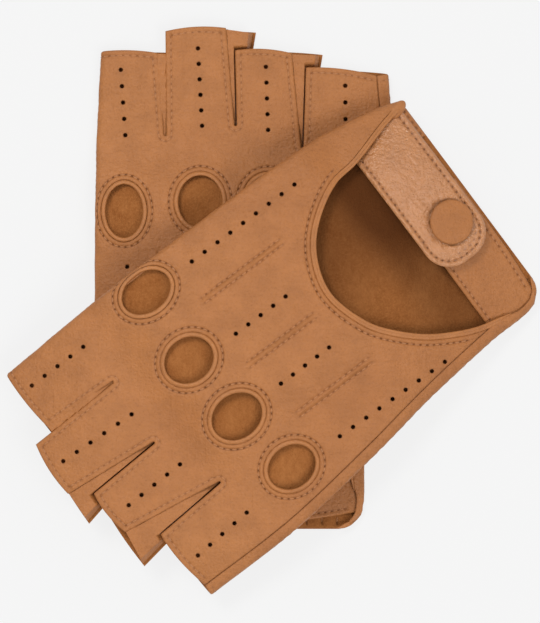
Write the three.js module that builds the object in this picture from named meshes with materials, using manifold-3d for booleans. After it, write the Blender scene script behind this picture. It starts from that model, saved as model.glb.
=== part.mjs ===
// A pair of fingerless leather driving gloves, backs up: the right glove lies flat and the left
// glove lies across it. Units are millimetres, +Z is up and the origin is under the middle.
//
// Each glove is drawn in its own pattern frame: +x towards the thumb side, +y towards the
// fingers, h above the surface that the palm lies on. place() puts that frame in the world.
import * as THREE from "three";
import { mergeVertices } from "three/addons/utils/BufferGeometryUtils.js";
import Module from "manifold-3d";

const wasm = await Module();
wasm.setup();

// Overall sizes of one glove
const palmWidth = 95; // silhouette, across the knuckles
const gloveLength = 157; // wrist edge to middle fingertip edge
const patternWidth = 95; // the size that the pattern numbers below are drawn for
const patternLength = 157;
const wristY = -81.3;

// Leather and lie
const leather = 0.9; // back, palm
const fourchetteLeather = 0.7; // gusset strips between the fingers
const sideHeight = 3.6; // height of the folded edges
const palmCrown = 4.5; // how far the back domes above its edges over the hand
const fingerCrown = 1.8; // the same at the fingertips
const crownPower = 2.5;
const clearance = 0.3; // between any two pieces that are sewn or lie face to face
const seamInset = 3.8; // pinky-side seam to the silhouette
const foldEnd = -85; // degrees round the thumb-side fold where the back meets the palm

// Thumb, tucked flat under the palm
const thumbWall = 0.8;
const thumbHeight = 2.7;
const thumbWidthRoot = 23;
const thumbWidthTip = 20;
const thumbLength = 47;
const thumbHoleRadius = 9;
const thumbRootAcross = 33;
const thumbRootAlong = 28.4; // from the strap's edge nearer the fingers
const thumbTucked = 128; // degrees from +x, in the pattern frame
const thumbFloor = 0.1; // under the thumb
const thumbGap = 0.5; // between the tucked thumb and the palm that it lifts
const thumbRise = thumbFloor + thumbHeight + thumbGap;
const riseMargin = 3.5; // level ground round the thumb's sweep
const riseFall = 18; // width of the slope beyond it

// Knuckle holes from index to little finger, as half widths [across, along], and their facings
const holeHalves = [[5.8, 9], [7.9, 9], [7.9, 9.2], [7.6, 8.7]];
const facingFlanges = [1.2, 2.5, 2.5, 2.5]; // narrow beside the fold
const facingWall = 0.9;
const flangeThickness = 0.7;
const facingLip = 0.35; // how far the rolled lip stands above the back
const facingDrop = 0.6; // gap between the back and the flange under it

// Wrist: opening, binding, strap, tab, hem
const bindingRadius = 0.6;
const strapWidth = 21.3;
const strapMargin = 1.6; // strap to wrist edge
const strapThickness = 1.4;
const strapEndX = -12;
const strapCornerRadius = 9;
const strapHingeX = 30;
const strapHingeGap = 1;
const tabThickness = 1.2;
const tabEndX = 11;
const tabMargin = 0.9;
const tabWidth = 19.4;
const rootInset = leather + 2.3; // strap root to the folded edge
const hemMargin = 0.5;
const hemWidth = 8.8;
const hemReach = [-24.5, 26.5];
const hemThickness = 0.5;
const elasticMargin = 2.3;
const elasticWidth = 4;

// Snap fastener, measured from the strap's underside along the snap's axis
const snapX = 0.9;
const snapOffCentre = -1.55; // from the strap's middle towards the wrist edge
const capRadius = 6.8;
const capHeight = 1.8;
const coverWall = 0.6;
const postRadius = 1.5;
const socketRadius = 4.5;
const socketHeight = 0.9;
const studRadius = 4.2;
const ballRadius = 1.7;
const ballClearance = 0.35;
const eyeletRadius = 4;
const barrelRadius = 1.3;
const metal = 0.4; // pressed sheet

// Levels of the two strips where they cross at the snap, and of their sewn ends
const rootLevel = leather + 1.5 * clearance;
const tabLevel = 6;
const snapStack = socketHeight + metal + 3 * clearance + 0.1;
const strapLevel = tabLevel + tabThickness + snapStack;
const capFoot = strapThickness + clearance - 0.1;

// How the left glove rests on the right one: level over it, sloping down past its edges
const restGap = 0.5; // over the right glove's snap cap, its highest part under the left one
const restHeight = strapLevel + capFoot + capHeight + restGap;
const restSlope = 0.27;
const fingerSideSlope = 0.2;
const restBlend = 10;
const restEdges = { east: 40, west: 44, south: 81, north: 28 };

// Outline of the pattern. Each finger is [thumb-side tip corner, pinky-side tip corner] and each
// slot is cut from its crotch out to the corners beside it.
const thumbSide = [[-81, 40.5], [-74, 42.8], [-50, 47], [30, 47.5], [77, 45.5]];
const pinkySide = [[-81, -32], [-76, -36.2], [-60, -37], [-34, -39.6], [-7, -43.6], [25, -47.2]];
const wristOpening = [
  [39.2, -82], [33, -58], [27, -40.5], [12, -29], [-4, -29],
  [-15, -36], [-26, -49], [-31.2, -60], [-34, -78], [-34.6, -82],
];
const crotchWidth = 0.8;
const crotchLean = 2; // how far the fingers lean at the crotch, palm against back
const fingerNames = ["index", "middle", "ring", "little"];
const lies = {
  left: {
    pinkyTip: -47.8,
    back: [[[60, 68.4], [24.8, 68]], [[22.8, 74.3], [4.4, 75.4]], [[-0.3, 68.9], [-15.8, 68.2]],
      [[-23, 59.9], [-60, 58]]],
    palm: [[[60, 68.4], [17, 68]], [[14.5, 74.3], [-7, 75.8]], [[-9.5, 68.6], [-28, 67.8]],
      [[-30.5, 59.4], [-60, 58]]],
    crotches: [[24, 43.5], [1.2, 44.5], [-21, 35.5]],
    holes: [[39, 18.1], [15.2, 20.1], [-7.75, 18.7], [-30.6, 14.5]],
  },
  right: {
    pinkyTip: -44.5,
    back: [[[60, 68.1], [28, 68.1]], [[25.6, 74.9], [6.6, 75.9]], [[3.75, 68.9], [-14, 68]],
      [[-18.5, 63.5], [-60, 60.6]]],
    palm: [[[60, 68.1], [19, 68.1]], [[16.5, 74.9], [-2.8, 74.6]], [[-5.3, 68.5], [-23.75, 67.6]],
      [[-26.25, 62.8], [-60, 60.6]]],
    crotches: [[25.7, 42.4], [3.6, 45.6], [-17.3, 38.6]],
    holes: [[38.5, 18.5], [14.6, 21.4], [-6.6, 21.2], [-28.6, 16.5]],
  },
};

// How strap and tab climb from their sewn ends to the snap: [x, share of the climb]
const strapRun = [[52, 0], [39, 0], [34, 0.07], [30, 0.25], [24, 0.53], [18, 0.76], [12, 0.93],
  [7, 1], [-6, 1], [-10, 0.96], [-14, 0.9]];
const tabRun = [[-35, 0], [-30, 0.12], [-20, 0.5], [-12, 0.85], [-6, 1], [14, 1]];

const gradeX = palmWidth / patternWidth;
const gradeY = gloveLength / patternLength;
const rad = Math.PI / 180;
const panelFoot = wristY * gradeY;
const strapLow = panelFoot + strapMargin;
const strapHigh = strapLow + strapWidth;

const gloves = {
  right: { mirror: -1, turn: 0, at: [-7.2, 13], rest: () => 0 },
  left: { mirror: 1, turn: 126.87 * rad, at: [0, -15.2], rest: restOnRight },
};

// A smooth line through a few points, as a function of their first number
function through(points) {
  const sorted = [...points].sort((a, b) => a[0] - b[0]);
  const slope = sorted.map((p, i) => {
    const a = sorted[Math.max(i - 1, 0)];
    const b = sorted[Math.min(i + 1, sorted.length - 1)];
    return (b[1] - a[1]) / (b[0] - a[0]);
  });
  return (v) => {
    let i = 0;
    while (i < sorted.length - 2 && v > sorted[i + 1][0]) i++;
    const [x0, y0] = sorted[i];
    const [x1, y1] = sorted[i + 1];
    const span = x1 - x0;
    const u = (v - x0) / span;
    if (u < 0) return y0 + slope[i] * (v - x0);
    if (u > 1) return y1 + slope[i + 1] * (v - x1);
    const u2 = u * u;
    const u3 = u2 * u;
    return (2 * u3 - 3 * u2 + 1) * y0 + (u3 - 2 * u2 + u) * span * slope[i]
      + (3 * u2 - 2 * u3) * y1 + (u3 - u2) * span * slope[i + 1];
  };
}

const smooth = (v) => THREE.MathUtils.smoothstep(v, 0, 1);
const lerp = THREE.MathUtils.lerp;
const grade = ([x, y]) => [x * gradeX, y * gradeY];
const gradeTurned = ([y, x]) => [y * gradeY, x * gradeX];

const thumbEdge = through(thumbSide.map(gradeTurned));
const pinkyEdges = Object.fromEntries(Object.keys(lies).map((side) =>
  [side, through([...pinkySide, [60, lies[side].pinkyTip]].map(gradeTurned))]));

// Zero below 0, then a parabola that turns into a straight line of slope 1
function soften(d) {
  if (d <= 0) return 0;
  return d < restBlend ? d * d / (2 * restBlend) : d - restBlend / 2;
}

function restOnRight(X, Y) {
  const x = X - gloves.right.at[0];
  const y = Y - gloves.right.at[1];
  return restHeight
    - restSlope * (soften(x - restEdges.east * gradeX) + soften(-x - restEdges.west * gradeX))
    - restSlope * soften(-y - restEdges.south * gradeY)
    - fingerSideSlope * soften(y - restEdges.north * gradeY);
}

// How far the tucked thumb lifts the glove at a place in the pattern. The lift is level wherever
// the thumb swings, and it has run out at the strap.
const thumbRootX = thumbRootAcross * gradeX;
const thumbRootY = strapHigh + thumbRootAlong;
const thumbReach = Math.hypot(thumbLength, thumbWidthTip / 2) + riseMargin;
const riseLimits = {
  west: thumbRootX + thumbReach * Math.cos(thumbTucked * rad)
    - thumbWidthTip / 2 * Math.sin(thumbTucked * rad),
  north: thumbRootY + thumbReach,
  south: thumbRootY - thumbWidthRoot / 2 - 2,
};

function riseAt(x, y) {
  const ramp = (past, fall) => smooth(1 - past / fall);
  return thumbRise * ramp(riseLimits.west - x, riseFall) * ramp(y - riseLimits.north, riseFall)
    * ramp(riseLimits.south - y, riseLimits.south - strapHigh - 2);
}

function place(side, x, y, h, rise = riseAt(x, y)) {
  const { mirror, turn, at, rest } = gloves[side];
  const X = Math.cos(turn) * mirror * x - Math.sin(turn) * y + at[0];
  const Y = Math.sin(turn) * mirror * x + Math.cos(turn) * y + at[1];
  return new THREE.Vector3(X, Y, rest(X, Y) + rise + h);
}

// Height of the back's outer face
function backHeight(side, x, y) {
  const a = thumbEdge(y);
  const b = pinkyEdges[side](y);
  const across = Math.min(1, Math.abs(x - (a + b) / 2) / ((a - b) / 2 - sideHeight / 2));
  const crown = lerp(palmCrown, fingerCrown, smooth((y / gradeY - 10) / 32));
  return sideHeight + crown * (1 - across ** crownPower);
}

// A geometry as a closed solid. A mirrored glove turns every face round.
function solid(geometry, turned = false) {
  const bare = geometry.clone();
  bare.deleteAttribute("normal");
  bare.deleteAttribute("uv");
  const merged = mergeVertices(bare, 1e-4);
  const triVerts = new Uint32Array(merged.index.array);
  if (turned) {
    for (let i = 0; i < triVerts.length; i += 3) {
      [triVerts[i + 1], triVerts[i + 2]] = [triVerts[i + 2], triVerts[i + 1]];
    }
  }
  return new wasm.Manifold(new wasm.Mesh({
    numProp: 3,
    vertProperties: new Float32Array(merged.attributes.position.array),
    triVerts,
  }));
}

function moveVertices(geometry, move) {
  const position = geometry.attributes.position;
  const v = new THREE.Vector3();
  for (let i = 0; i < position.count; i++) {
    const moved = move(v.fromBufferAttribute(position, i));
    position.setXYZ(i, moved.x, moved.y, moved.z);
  }
  return geometry;
}

// A sheet with thickness over surface(s, t), which gives a point in the pattern frame.
// anchor says where the surface lies in the thickness: 0 is its lower face, 1 its upper face.
function sheet(side, surface, cellsS, cellsT, thickness, anchor, onRise = true) {
  const step = 1e-3; // for the normal
  const geometry = moveVertices(new THREE.BoxGeometry(1, 1, 1, cellsS, cellsT, 1), (v) => {
    const s = v.x + 0.5;
    const t = v.y + 0.5;
    const across = surface(Math.min(s + step, 1), t).sub(surface(Math.max(s - step, 0), t));
    const along = surface(s, Math.min(t + step, 1)).sub(surface(s, Math.max(t - step, 0)));
    const out = across.cross(along).normalize().multiplyScalar((v.z + 0.5 - anchor) * thickness);
    const p = surface(s, t).add(out);
    return onRise ? place(side, p.x, p.y, p.z) : place(side, p.x, p.y, p.z, 0);
  });
  return solid(geometry, gloves[side].mirror < 0);
}

// An upright prism over a plan outline in the pattern frame, as a cutter
function prism(side, shape, low = -60, high = 100) {
  const geometry = new THREE.ExtrudeGeometry(shape, {
    depth: high - low, bevelEnabled: false, curveSegments: 8,
  });
  moveVertices(geometry, (v) => {
    const p = place(side, v.x, v.y, 0);
    return p.setZ(v.z + low);
  });
  return solid(geometry, gloves[side].mirror < 0);
}

function outline(points) {
  return new THREE.Shape(points.map(([x, y]) => new THREE.Vector2(x, y)));
}

function ellipse(x, y, rx, ry) {
  return new THREE.Shape().absellipse(x, y, rx, ry, 0, 2 * Math.PI);
}

// Everything beyond the fingertips and between the fingers, from one layer's tip corners
function comb(side, tips, crotches) {
  const half = crotchWidth / 2;
  const points = [[70, 95], [70, tips[0][0][1]]].map(grade);
  tips.forEach(([thumbCorner, pinkyCorner], i) => {
    if (i) points.push(grade(thumbCorner));
    points.push(grade(pinkyCorner));
    if (i < crotches.length) {
      const [x, y] = grade(crotches[i]);
      points.push([x + half, y], [x - half, y]);
    }
  });
  points.push(grade([-70, tips[3][1][1]]), grade([-70, 95]));
  return prism(side, outline(points));
}

const palmCrotches = (side) => lies[side].crotches.map(([x, y]) => [x - crotchLean, y]);
const panelTop = 78 * gradeY;
const panelRows = 20;

// The back: from the pinky seam across the hand and down round the thumb-side fold
function backPanel(side) {
  const arcCells = 4;
  const cells = 14;
  const flat = 1 - arcCells / cells;
  const r = sideHeight / 2;
  const surface = (s, t) => {
    const y = lerp(panelFoot, panelTop, t);
    const turn = thumbEdge(y) - r;
    if (s <= flat) {
      const x = lerp(pinkyEdges[side](y) + seamInset + clearance / 2, turn, s / flat);
      return new THREE.Vector3(x, y, backHeight(side, x, y));
    }
    const a = lerp(90, foldEnd, (s - flat) / (1 - flat)) * rad;
    return new THREE.Vector3(turn + r * Math.cos(a), y, r + r * Math.sin(a));
  };
  let back = sheet(side, surface, cells, panelRows, leather, 1);
  back = back.subtract(comb(side, lies[side].back, lies[side].crotches));
  back = back.subtract(prism(side, wristOpeningShape()));
  lies[side].holes.forEach((centre, i) => {
    back = back.subtract(prism(side, ellipse(...grade(centre), ...holeHalves[i])));
  });
  return back;
}

function wristOpeningShape() {
  const points = wristOpening.map(grade).map(([x, y]) => new THREE.Vector2(x, y));
  const shape = new THREE.Shape().moveTo(points[0].x, points[0].y);
  shape.splineThru(points.slice(1));
  return shape.lineTo(points.at(-1).x, points.at(-1).y - 20).lineTo(points[0].x, points[0].y - 20);
}

// The palm: from the thumb-side fold across, and up round the pinky side to the seam
function palmPanel(side) {
  const arcCells = 5;
  const cells = 13;
  const flat = 1 - arcCells / cells;
  const r = sideHeight / 2;
  const surface = (s, t) => {
    const y = lerp(panelFoot, panelTop, t);
    const edge = pinkyEdges[side](y);
    if (s <= flat) {
      const from = thumbEdge(y) - r - clearance * 0.8;
      return new THREE.Vector3(lerp(from, edge + r, s / flat), y, 0);
    }
    const round = 0.8; // share of the cells that turn up; the rest lies on top
    const u = (s - flat) / (1 - flat);
    if (u <= round) {
      const a = (-90 - 180 * u / round) * rad;
      return new THREE.Vector3(edge + r + r * Math.cos(a), y, r + r * Math.sin(a));
    }
    const x = lerp(edge + r, edge + seamInset - clearance / 2, (u - round) / (1 - round));
    return new THREE.Vector3(x, y, backHeight(side, x, y));
  };
  return sheet(side, surface, cells, panelRows, leather, 1)
    .subtract(comb(side, lies[side].palm, palmCrotches(side)))
    .subtract(prism(side, ellipse(thumbRootX, thumbRootY, thumbHoleRadius, thumbHoleRadius)));
}

// A gusset between two fingers: a strip that runs down one finger, round the crotch and up the next
function fourchette(side, i) {
  const { back, palm, crotches } = lies[side];
  const inset = leather + 0.1; // the strip is sewn this far inside the edges of back and palm
  const foldShare = 0.2;
  const half = crotchWidth / 2;
  const path = (tips, crotch, t) => {
    const a = grade(tips[i][1]);
    const b = grade(tips[i + 1][0]);
    const c = grade(crotch);
    const side1 = (1 - foldShare) / 2;
    if (t < side1) {
      const u = t / side1;
      return [lerp(a[0], c[0] + half, u) + inset, lerp(a[1] - clearance, c[1], u)];
    }
    if (t > 1 - side1) {
      const u = (t - 1 + side1) / side1;
      return [lerp(c[0] - half, b[0], u) - inset, lerp(c[1], b[1] - clearance, u)];
    }
    const turn = Math.PI * (t - side1) / foldShare;
    return [c[0] + (half + inset) * Math.cos(turn), c[1] - inset * Math.sin(turn)];
  };
  const surface = (s, t) => {
    const top = path(back, crotches[i], t);
    const foot = path(palm, palmCrotches(side)[i], t);
    const x = lerp(top[0], foot[0], s);
    const y = lerp(top[1], foot[1], s);
    const high = backHeight(side, x, y) - leather - 1.5 * clearance - fourchetteLeather / 2;
    const low = leather + clearance + fourchetteLeather / 2;
    const firstFinger = low + (high - low) * (1 - s) ** 2.5;
    const nextFinger = high - (high - low) * s ** 2.5;
    return new THREE.Vector3(x, y, lerp(firstFinger, nextFinger, smooth((t - 0.4) / 0.2)));
  };
  return sheet(side, surface, 3, 15, fourchetteLeather, 0.5);
}

// The turned facing of a knuckle hole: a lip inside the hole and a flange under the back
function knuckleFacing(side, i) {
  const [cx, cy] = grade(lies[side].holes[i]);
  const [rx, ry] = holeHalves[i];
  const flange = facingFlanges[i];
  const lip = -clearance;
  const low = -leather - facingDrop;
  const profile = [
    [lip - facingWall, low - flangeThickness], [flange, low - flangeThickness], [flange, low],
    [lip, low], [lip, facingLip], [lip - facingWall, facingLip],
    [lip - facingWall, low - flangeThickness],
  ].map(([r, z]) => new THREE.Vector2(rx + r, z));
  const geometry = moveVertices(new THREE.LatheGeometry(profile, 16), (v) => {
    const r = Math.hypot(v.x, v.z); // the lathe turns about its own y axis
    const a = Math.atan2(-v.z, v.x);
    const x = cx + r * Math.cos(a);
    const y = cy + (r + ry - rx) * Math.sin(a);
    return place(side, x, y, backHeight(side, x, y) + v.y);
  });
  return solid(geometry, gloves[side].mirror < 0);
}

// The thumb, a flat sleeve that is open at its tip and hangs from the palm's round hole
function thumb(side) {
  const reach = thumbWidthRoot / 2;
  const depth = thumbLength + reach;
  const turn = thumbTucked * rad;
  const toGlove = (u, v, h) => {
    const x = thumbRootX + u * Math.cos(turn) - v * Math.sin(turn);
    const y = thumbRootY + u * Math.sin(turn) + v * Math.cos(turn);
    return place(side, x, y, h, 0);
  };
  const sleeve = (inset, overrun) => {
    const r = thumbHeight / 2 - inset;
    const w = thumbWidthRoot / 2 - inset - r;
    const section = new THREE.Shape()
      .absarc(w, 0, r, -Math.PI / 2, Math.PI / 2)
      .absarc(-w, 0, r, Math.PI / 2, 1.5 * Math.PI);
    const geometry = new THREE.ExtrudeGeometry(section, {
      depth: depth + overrun, steps: 2, bevelEnabled: false, curveSegments: 3,
    });
    moveVertices(geometry, (v) => {
      const u = v.z - reach;
      const taper = lerp(1, thumbWidthTip / thumbWidthRoot, Math.max(0, u) / thumbLength);
      return toGlove(u, v.x * taper, v.y + thumbHeight / 2 + thumbFloor);
    });
    const plan = new THREE.Shape()
      .absarc(0, 0, reach - inset, Math.PI / 2, 1.5 * Math.PI)
      .lineTo(depth + 5, inset - reach).lineTo(depth + 5, reach - inset);
    const rounded = new THREE.ExtrudeGeometry(plan, {
      depth: 100, bevelEnabled: false, curveSegments: 7,
    });
    moveVertices(rounded, (v) => toGlove(v.x, v.y, 0).setZ(v.z - 30));
    const turned = gloves[side].mirror < 0;
    return solid(geometry, turned).intersect(solid(rounded, turned));
  };
  const holePlan = new THREE.ExtrudeGeometry(ellipse(0, 0, thumbHoleRadius, thumbHoleRadius), {
    depth: 40, bevelEnabled: false, curveSegments: 7,
  });
  moveVertices(holePlan, (v) => toGlove(v.x, v.y, v.z + thumbHeight / 2 + thumbFloor));
  return sleeve(0, 0).subtract(sleeve(thumbWall, 4)).subtract(solid(holePlan, gloves[side].mirror < 0));
}

// The rolled binding that finishes the wrist opening's edge
function cuffBinding(side) {
  const offset = clearance + bindingRadius;
  const points = wristOpening.map(grade).map(([x, y]) => new THREE.Vector2(x, y));
  const edge = new THREE.SplineCurve(points);
  const start = 0.035;
  const stop = 0.9;
  const route = [];
  for (let i = 0; i <= 24; i++) {
    const u = lerp(start, stop, i / 24);
    const p = edge.getPointAt(u);
    const along = edge.getTangentAt(u);
    const x = p.x - along.y * offset;
    const y = p.y + along.x * offset;
    route.push(place(side, x, y, backHeight(side, x, y) - leather / 2));
  }
  const section = new THREE.Shape().absarc(0, 0, bindingRadius, 0, 2 * Math.PI);
  return solid(new THREE.ExtrudeGeometry(section, {
    extrudePath: new THREE.CatmullRomCurve3(route), steps: 24, curveSegments: 3, bevelEnabled: false,
  }));
}

// A strip that runs across the wrist at the height run(x), cut to a plan shape
function strip(side, run, from, to, low, high, thickness, cells, shape) {
  const surface = (s, t) => {
    const x = lerp(from, to, s);
    return new THREE.Vector3(x, lerp(low, high, t), run(x));
  };
  const whole = sheet(side, surface, cells, 2, thickness, 0);
  return shape ? whole.intersect(prism(side, shape)) : whole;
}

const climb = (run, top) => through(run.map(([x, f]) => [x * gradeX, lerp(rootLevel, top, f)]));
const strapHeight = climb(strapRun, strapLevel);
const tabHeight = climb(tabRun, tabLevel);

function strap(side) {
  const from = strapEndX * gradeX;
  const to = strapHingeX * gradeX - strapHingeGap / 2;
  const r = strapCornerRadius;
  const shape = new THREE.Shape()
    .moveTo(to + 5, strapLow).lineTo(to + 5, strapHigh).lineTo(from + r, strapHigh)
    .absarc(from + r, strapHigh - r, r, Math.PI / 2, Math.PI)
    .absarc(from + r, strapLow + r, r, Math.PI, 1.5 * Math.PI);
  return strip(side, strapHeight, from, to, strapLow, strapHigh, strapThickness, 11, shape)
    .subtract(snapPiece(side, new THREE.CylinderGeometry(
      postRadius + clearance, postRadius + clearance, 8, 16), 0));
}

function strapRoot(side) {
  const from = strapHingeX * gradeX + strapHingeGap / 2;
  const shape = outline([
    [from - 5, strapLow], [thumbEdge(strapLow) - rootInset, strapLow],
    [thumbEdge(strapHigh) - rootInset, strapHigh], [from - 5, strapHigh],
  ]);
  return strip(side, strapHeight, from, 50 * gradeX, strapLow, strapHigh, strapThickness, 5, shape);
}

function tab(side) {
  const edge = pinkyEdges[side];
  const low = panelFoot + tabMargin;
  const high = low + tabWidth;
  const middle = (low + high) / 2 - 4;
  const shape = outline([
    [tabEndX * gradeX + 1, low], [tabEndX * gradeX + 1, high],
    ...[high, middle, low].map((y) => [edge(y) + seamInset + 4 * clearance, y]),
  ]);
  return strip(side, tabHeight, -40 * gradeX, tabEndX * gradeX, low, high, tabThickness, 9, shape)
    .subtract(snapPiece(side, new THREE.CylinderGeometry(
      barrelRadius + clearance, barrelRadius + clearance, 5, 16), -tabDrop));
}

// The wrist hem's inner strip and the elastic that gathers it
const elasticLift = leather + clearance;
const hemLift = elasticLift + hemThickness + clearance;

function wristStrip(side, margin, width, lift) {
  const [from, to] = hemReach.map((x) => x * gradeX);
  const low = panelFoot + margin;
  return strip(side, () => lift, from, to, low, low + width, hemThickness, 6);
}

// The snap's frame: its origin is on the strap's underside and +Y runs out through the cap
function snapFrame(side) {
  const x = snapX * gradeX;
  const y = (strapLow + strapHigh) / 2 + snapOffCentre;
  const h = strapHeight(x);
  const at = place(side, x, y, h);
  const right = place(side, x + 1, y, h).sub(at).multiplyScalar(gloves[side].mirror);
  const up = right.cross(place(side, x, y + 1, h).sub(at)).normalize();
  const turn = new THREE.Quaternion().setFromUnitVectors(new THREE.Vector3(0, 1, 0), up);
  return new THREE.Matrix4().compose(at, turn, new THREE.Vector3(1, 1, 1));
}

function snapPiece(side, geometry, lift) {
  return solid(geometry.translate(0, lift, 0).applyMatrix4(snapFrame(side)));
}

function turnedPiece(side, profile, segments = 14) {
  const points = profile.map(([r, z]) => new THREE.Vector2(r, z));
  return snapPiece(side, new THREE.LatheGeometry(points, segments), 0);
}

const tabDrop = strapLevel - tabLevel - tabThickness / 2; // strap's underside to the tab's middle

function snapCap(side) {
  const r = capRadius - coverWall - clearance;
  return turnedPiece(side, [
    [0, 0.05], [postRadius, 0.05], [postRadius, capFoot], [r, capFoot], [r, capFoot + metal],
    [0, capFoot + metal],
  ]);
}

function snapCapCover(side) {
  const inner = capRadius - coverWall;
  const ceiling = capFoot + metal + clearance;
  return turnedPiece(side, [
    [0, ceiling], [inner, ceiling], [inner, capFoot], [capRadius, capFoot], [capRadius, capFoot + 0.7],
    [capRadius - 0.35, capFoot + 1.15], [capRadius - 1.1, capFoot + 1.45],
    [capRadius * 0.55, capFoot + capHeight - 0.08], [0, capFoot + capHeight],
  ], 18);
}

function snapSocket(side) {
  const bore = ballRadius + ballClearance;
  const top = -clearance + 0.05;
  const foot = top - socketHeight;
  return turnedPiece(side, [
    [bore, foot], [socketRadius, foot], [socketRadius, foot + metal], [bore + 1, top], [bore, top],
    [bore, foot],
  ]);
}

function snapStud(side) {
  const foot = -socketHeight - metal - 2 * clearance + 0.15;
  const flange = foot + metal - 0.05;
  const top = -clearance - 0.05;
  return turnedPiece(side, [
    [0, foot], [studRadius, foot], [studRadius, flange], [ballRadius - 0.3, flange],
    [ballRadius, (foot + top) / 2 + 0.2], [ballRadius - 0.4, top], [0, top],
  ]);
}

function studEyelet(side) {
  const top = -tabDrop - tabThickness / 2 - clearance + 0.1;
  const barrelTop = -tabDrop + tabThickness / 2;
  return turnedPiece(side, [
    [0, top - metal], [eyeletRadius, top - metal], [eyeletRadius, top], [barrelRadius, top],
    [barrelRadius, barrelTop], [0, barrelTop],
  ]);
}

const finishes = {
  leather: { color: 0xbd8657, roughness: 0.55, metalness: 0 },
  lining: { color: 0x9a6236, roughness: 0.95, metalness: 0 },
  elastic: { color: 0xa8774e, roughness: 0.9, metalness: 0 },
  brass: { color: 0xb08d57, roughness: 0.35, metalness: 1 },
};

const group = new THREE.Group();

function add(name, made, finish) {
  const { vertProperties, triVerts, numProp } = made.getMesh();
  const count = vertProperties.length / numProp;
  const positions = new Float32Array(count * 3);
  for (let i = 0; i < count; i++) {
    positions.set(vertProperties.subarray(i * numProp, i * numProp + 3), i * 3);
  }
  const geometry = new THREE.BufferGeometry()
    .setAttribute("position", new THREE.BufferAttribute(positions, 3))
    .setIndex(new THREE.BufferAttribute(triVerts, 1));
  geometry.computeVertexNormals();
  const mesh = new THREE.Mesh(geometry, new THREE.MeshStandardMaterial(finishes[finish]));
  mesh.name = name;
  group.add(mesh);
}

for (const side of ["right", "left"]) {
  add(`${side}_back_panel`, backPanel(side), "leather");
  add(`${side}_palm_panel`, palmPanel(side), "leather");
  add(`${side}_thumb`, thumb(side), "leather");
  lies[side].crotches.forEach((_, i) => {
    add(`${side}_fourchette_${fingerNames[i]}_${fingerNames[i + 1]}`, fourchette(side, i), "leather");
  });
  fingerNames.forEach((finger, i) => {
    add(`${side}_knuckle_facing_${finger}`, knuckleFacing(side, i), "leather");
  });
  add(`${side}_cuff_binding`, cuffBinding(side), "leather");
  add(`${side}_strap`, strap(side), "leather");
  add(`${side}_strap_root`, strapRoot(side), "leather");
  add(`${side}_tab`, tab(side), "leather");
  add(`${side}_snap_cap`, snapCap(side), "brass");
  add(`${side}_snap_cap_cover`, snapCapCover(side), "leather");
  add(`${side}_snap_socket`, snapSocket(side), "brass");
  add(`${side}_snap_stud`, snapStud(side), "brass");
  add(`${side}_stud_eyelet`, studEyelet(side), "brass");
  add(`${side}_wrist_hem`, wristStrip(side, hemMargin, hemWidth, hemLift), "lining");
  add(`${side}_wrist_elastic`, wristStrip(side, elasticMargin, elasticWidth, elasticLift), "elastic");
}

// The origin goes under the middle of the pair
const box = new THREE.Box3().setFromObject(group);
const middle = box.getCenter(new THREE.Vector3());
group.position.set(-middle.x, -middle.y, -box.min.z);

export default group;
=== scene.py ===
import math

import bmesh
import bpy
import numpy as np
from mathutils import Matrix, Vector, kdtree, noise
from mathutils.geometry import delaunay_2d_cdt


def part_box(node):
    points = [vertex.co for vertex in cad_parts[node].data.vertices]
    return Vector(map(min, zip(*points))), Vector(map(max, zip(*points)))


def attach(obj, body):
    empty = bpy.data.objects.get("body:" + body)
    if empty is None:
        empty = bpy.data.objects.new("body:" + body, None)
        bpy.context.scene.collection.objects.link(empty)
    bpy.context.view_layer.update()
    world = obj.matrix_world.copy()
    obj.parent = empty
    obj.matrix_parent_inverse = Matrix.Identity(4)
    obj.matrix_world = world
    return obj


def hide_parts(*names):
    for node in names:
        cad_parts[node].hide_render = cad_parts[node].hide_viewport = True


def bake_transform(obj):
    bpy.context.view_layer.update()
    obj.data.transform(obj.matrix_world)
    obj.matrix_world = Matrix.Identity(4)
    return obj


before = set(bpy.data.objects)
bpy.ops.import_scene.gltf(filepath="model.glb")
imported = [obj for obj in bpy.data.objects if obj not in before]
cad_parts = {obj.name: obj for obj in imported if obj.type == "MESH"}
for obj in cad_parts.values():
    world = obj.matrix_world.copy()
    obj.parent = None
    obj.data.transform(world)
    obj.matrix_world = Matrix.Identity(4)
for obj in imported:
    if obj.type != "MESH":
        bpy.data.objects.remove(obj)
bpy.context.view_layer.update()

print("frame loaded:", len(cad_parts), "nodes")

# Pattern numbers are millimetres in one glove's own frame: +x towards the thumb side,
# +y towards the fingers, h above the surface that the palm lies on.
mm = 0.001

hide = {
    "leather": 0.9, "gusset": 0.7, "fold": 1.8,  # fold is the radius of the turned sides
    "palmCrown": 4.5, "fingerCrown": 1.8, "crownPower": 2.5,
    "seam": 3.8, "foldEnd": 85, "crotch": 0.4, "palmBow": 3.0,
}
gussetSize = {
    "shift": 2,  # how far the palm's crotches lie from the back's, towards the little finger
    "inset": 0.1, "foldShare": 0.2, "sunk": 0.45, "flush": 0.3, "floor": 0.3, "cells": (44, 220),
}
wristY = -81.3
thumbSide = [(-81, 40.5), (-74, 42.8), (-50, 47), (30, 47.5), (77, 45.5)]
pinkySide = [(-81, -32), (-76, -36.2), (-60, -37), (-34, -39.6), (-7, -43.6), (25, -47.2)]
wristOpening = [
    (39.6, -82), (38.4, -79.7), (36.6, -72), (32.8, -58.3), (31.6, -49.6), (26.8, -40.3),
    (20.1, -33.1), (11.3, -28.7), (3.1, -27.9), (-8.3, -31.4), (-14.9, -35.9), (-22.5, -43.7),
    (-28.1, -52.8), (-31.1, -60.1), (-33, -70), (-33.6, -77.8), (-34, -84),
]
sides = ("right", "left")
fingers = ("index", "middle", "ring", "little")

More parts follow.
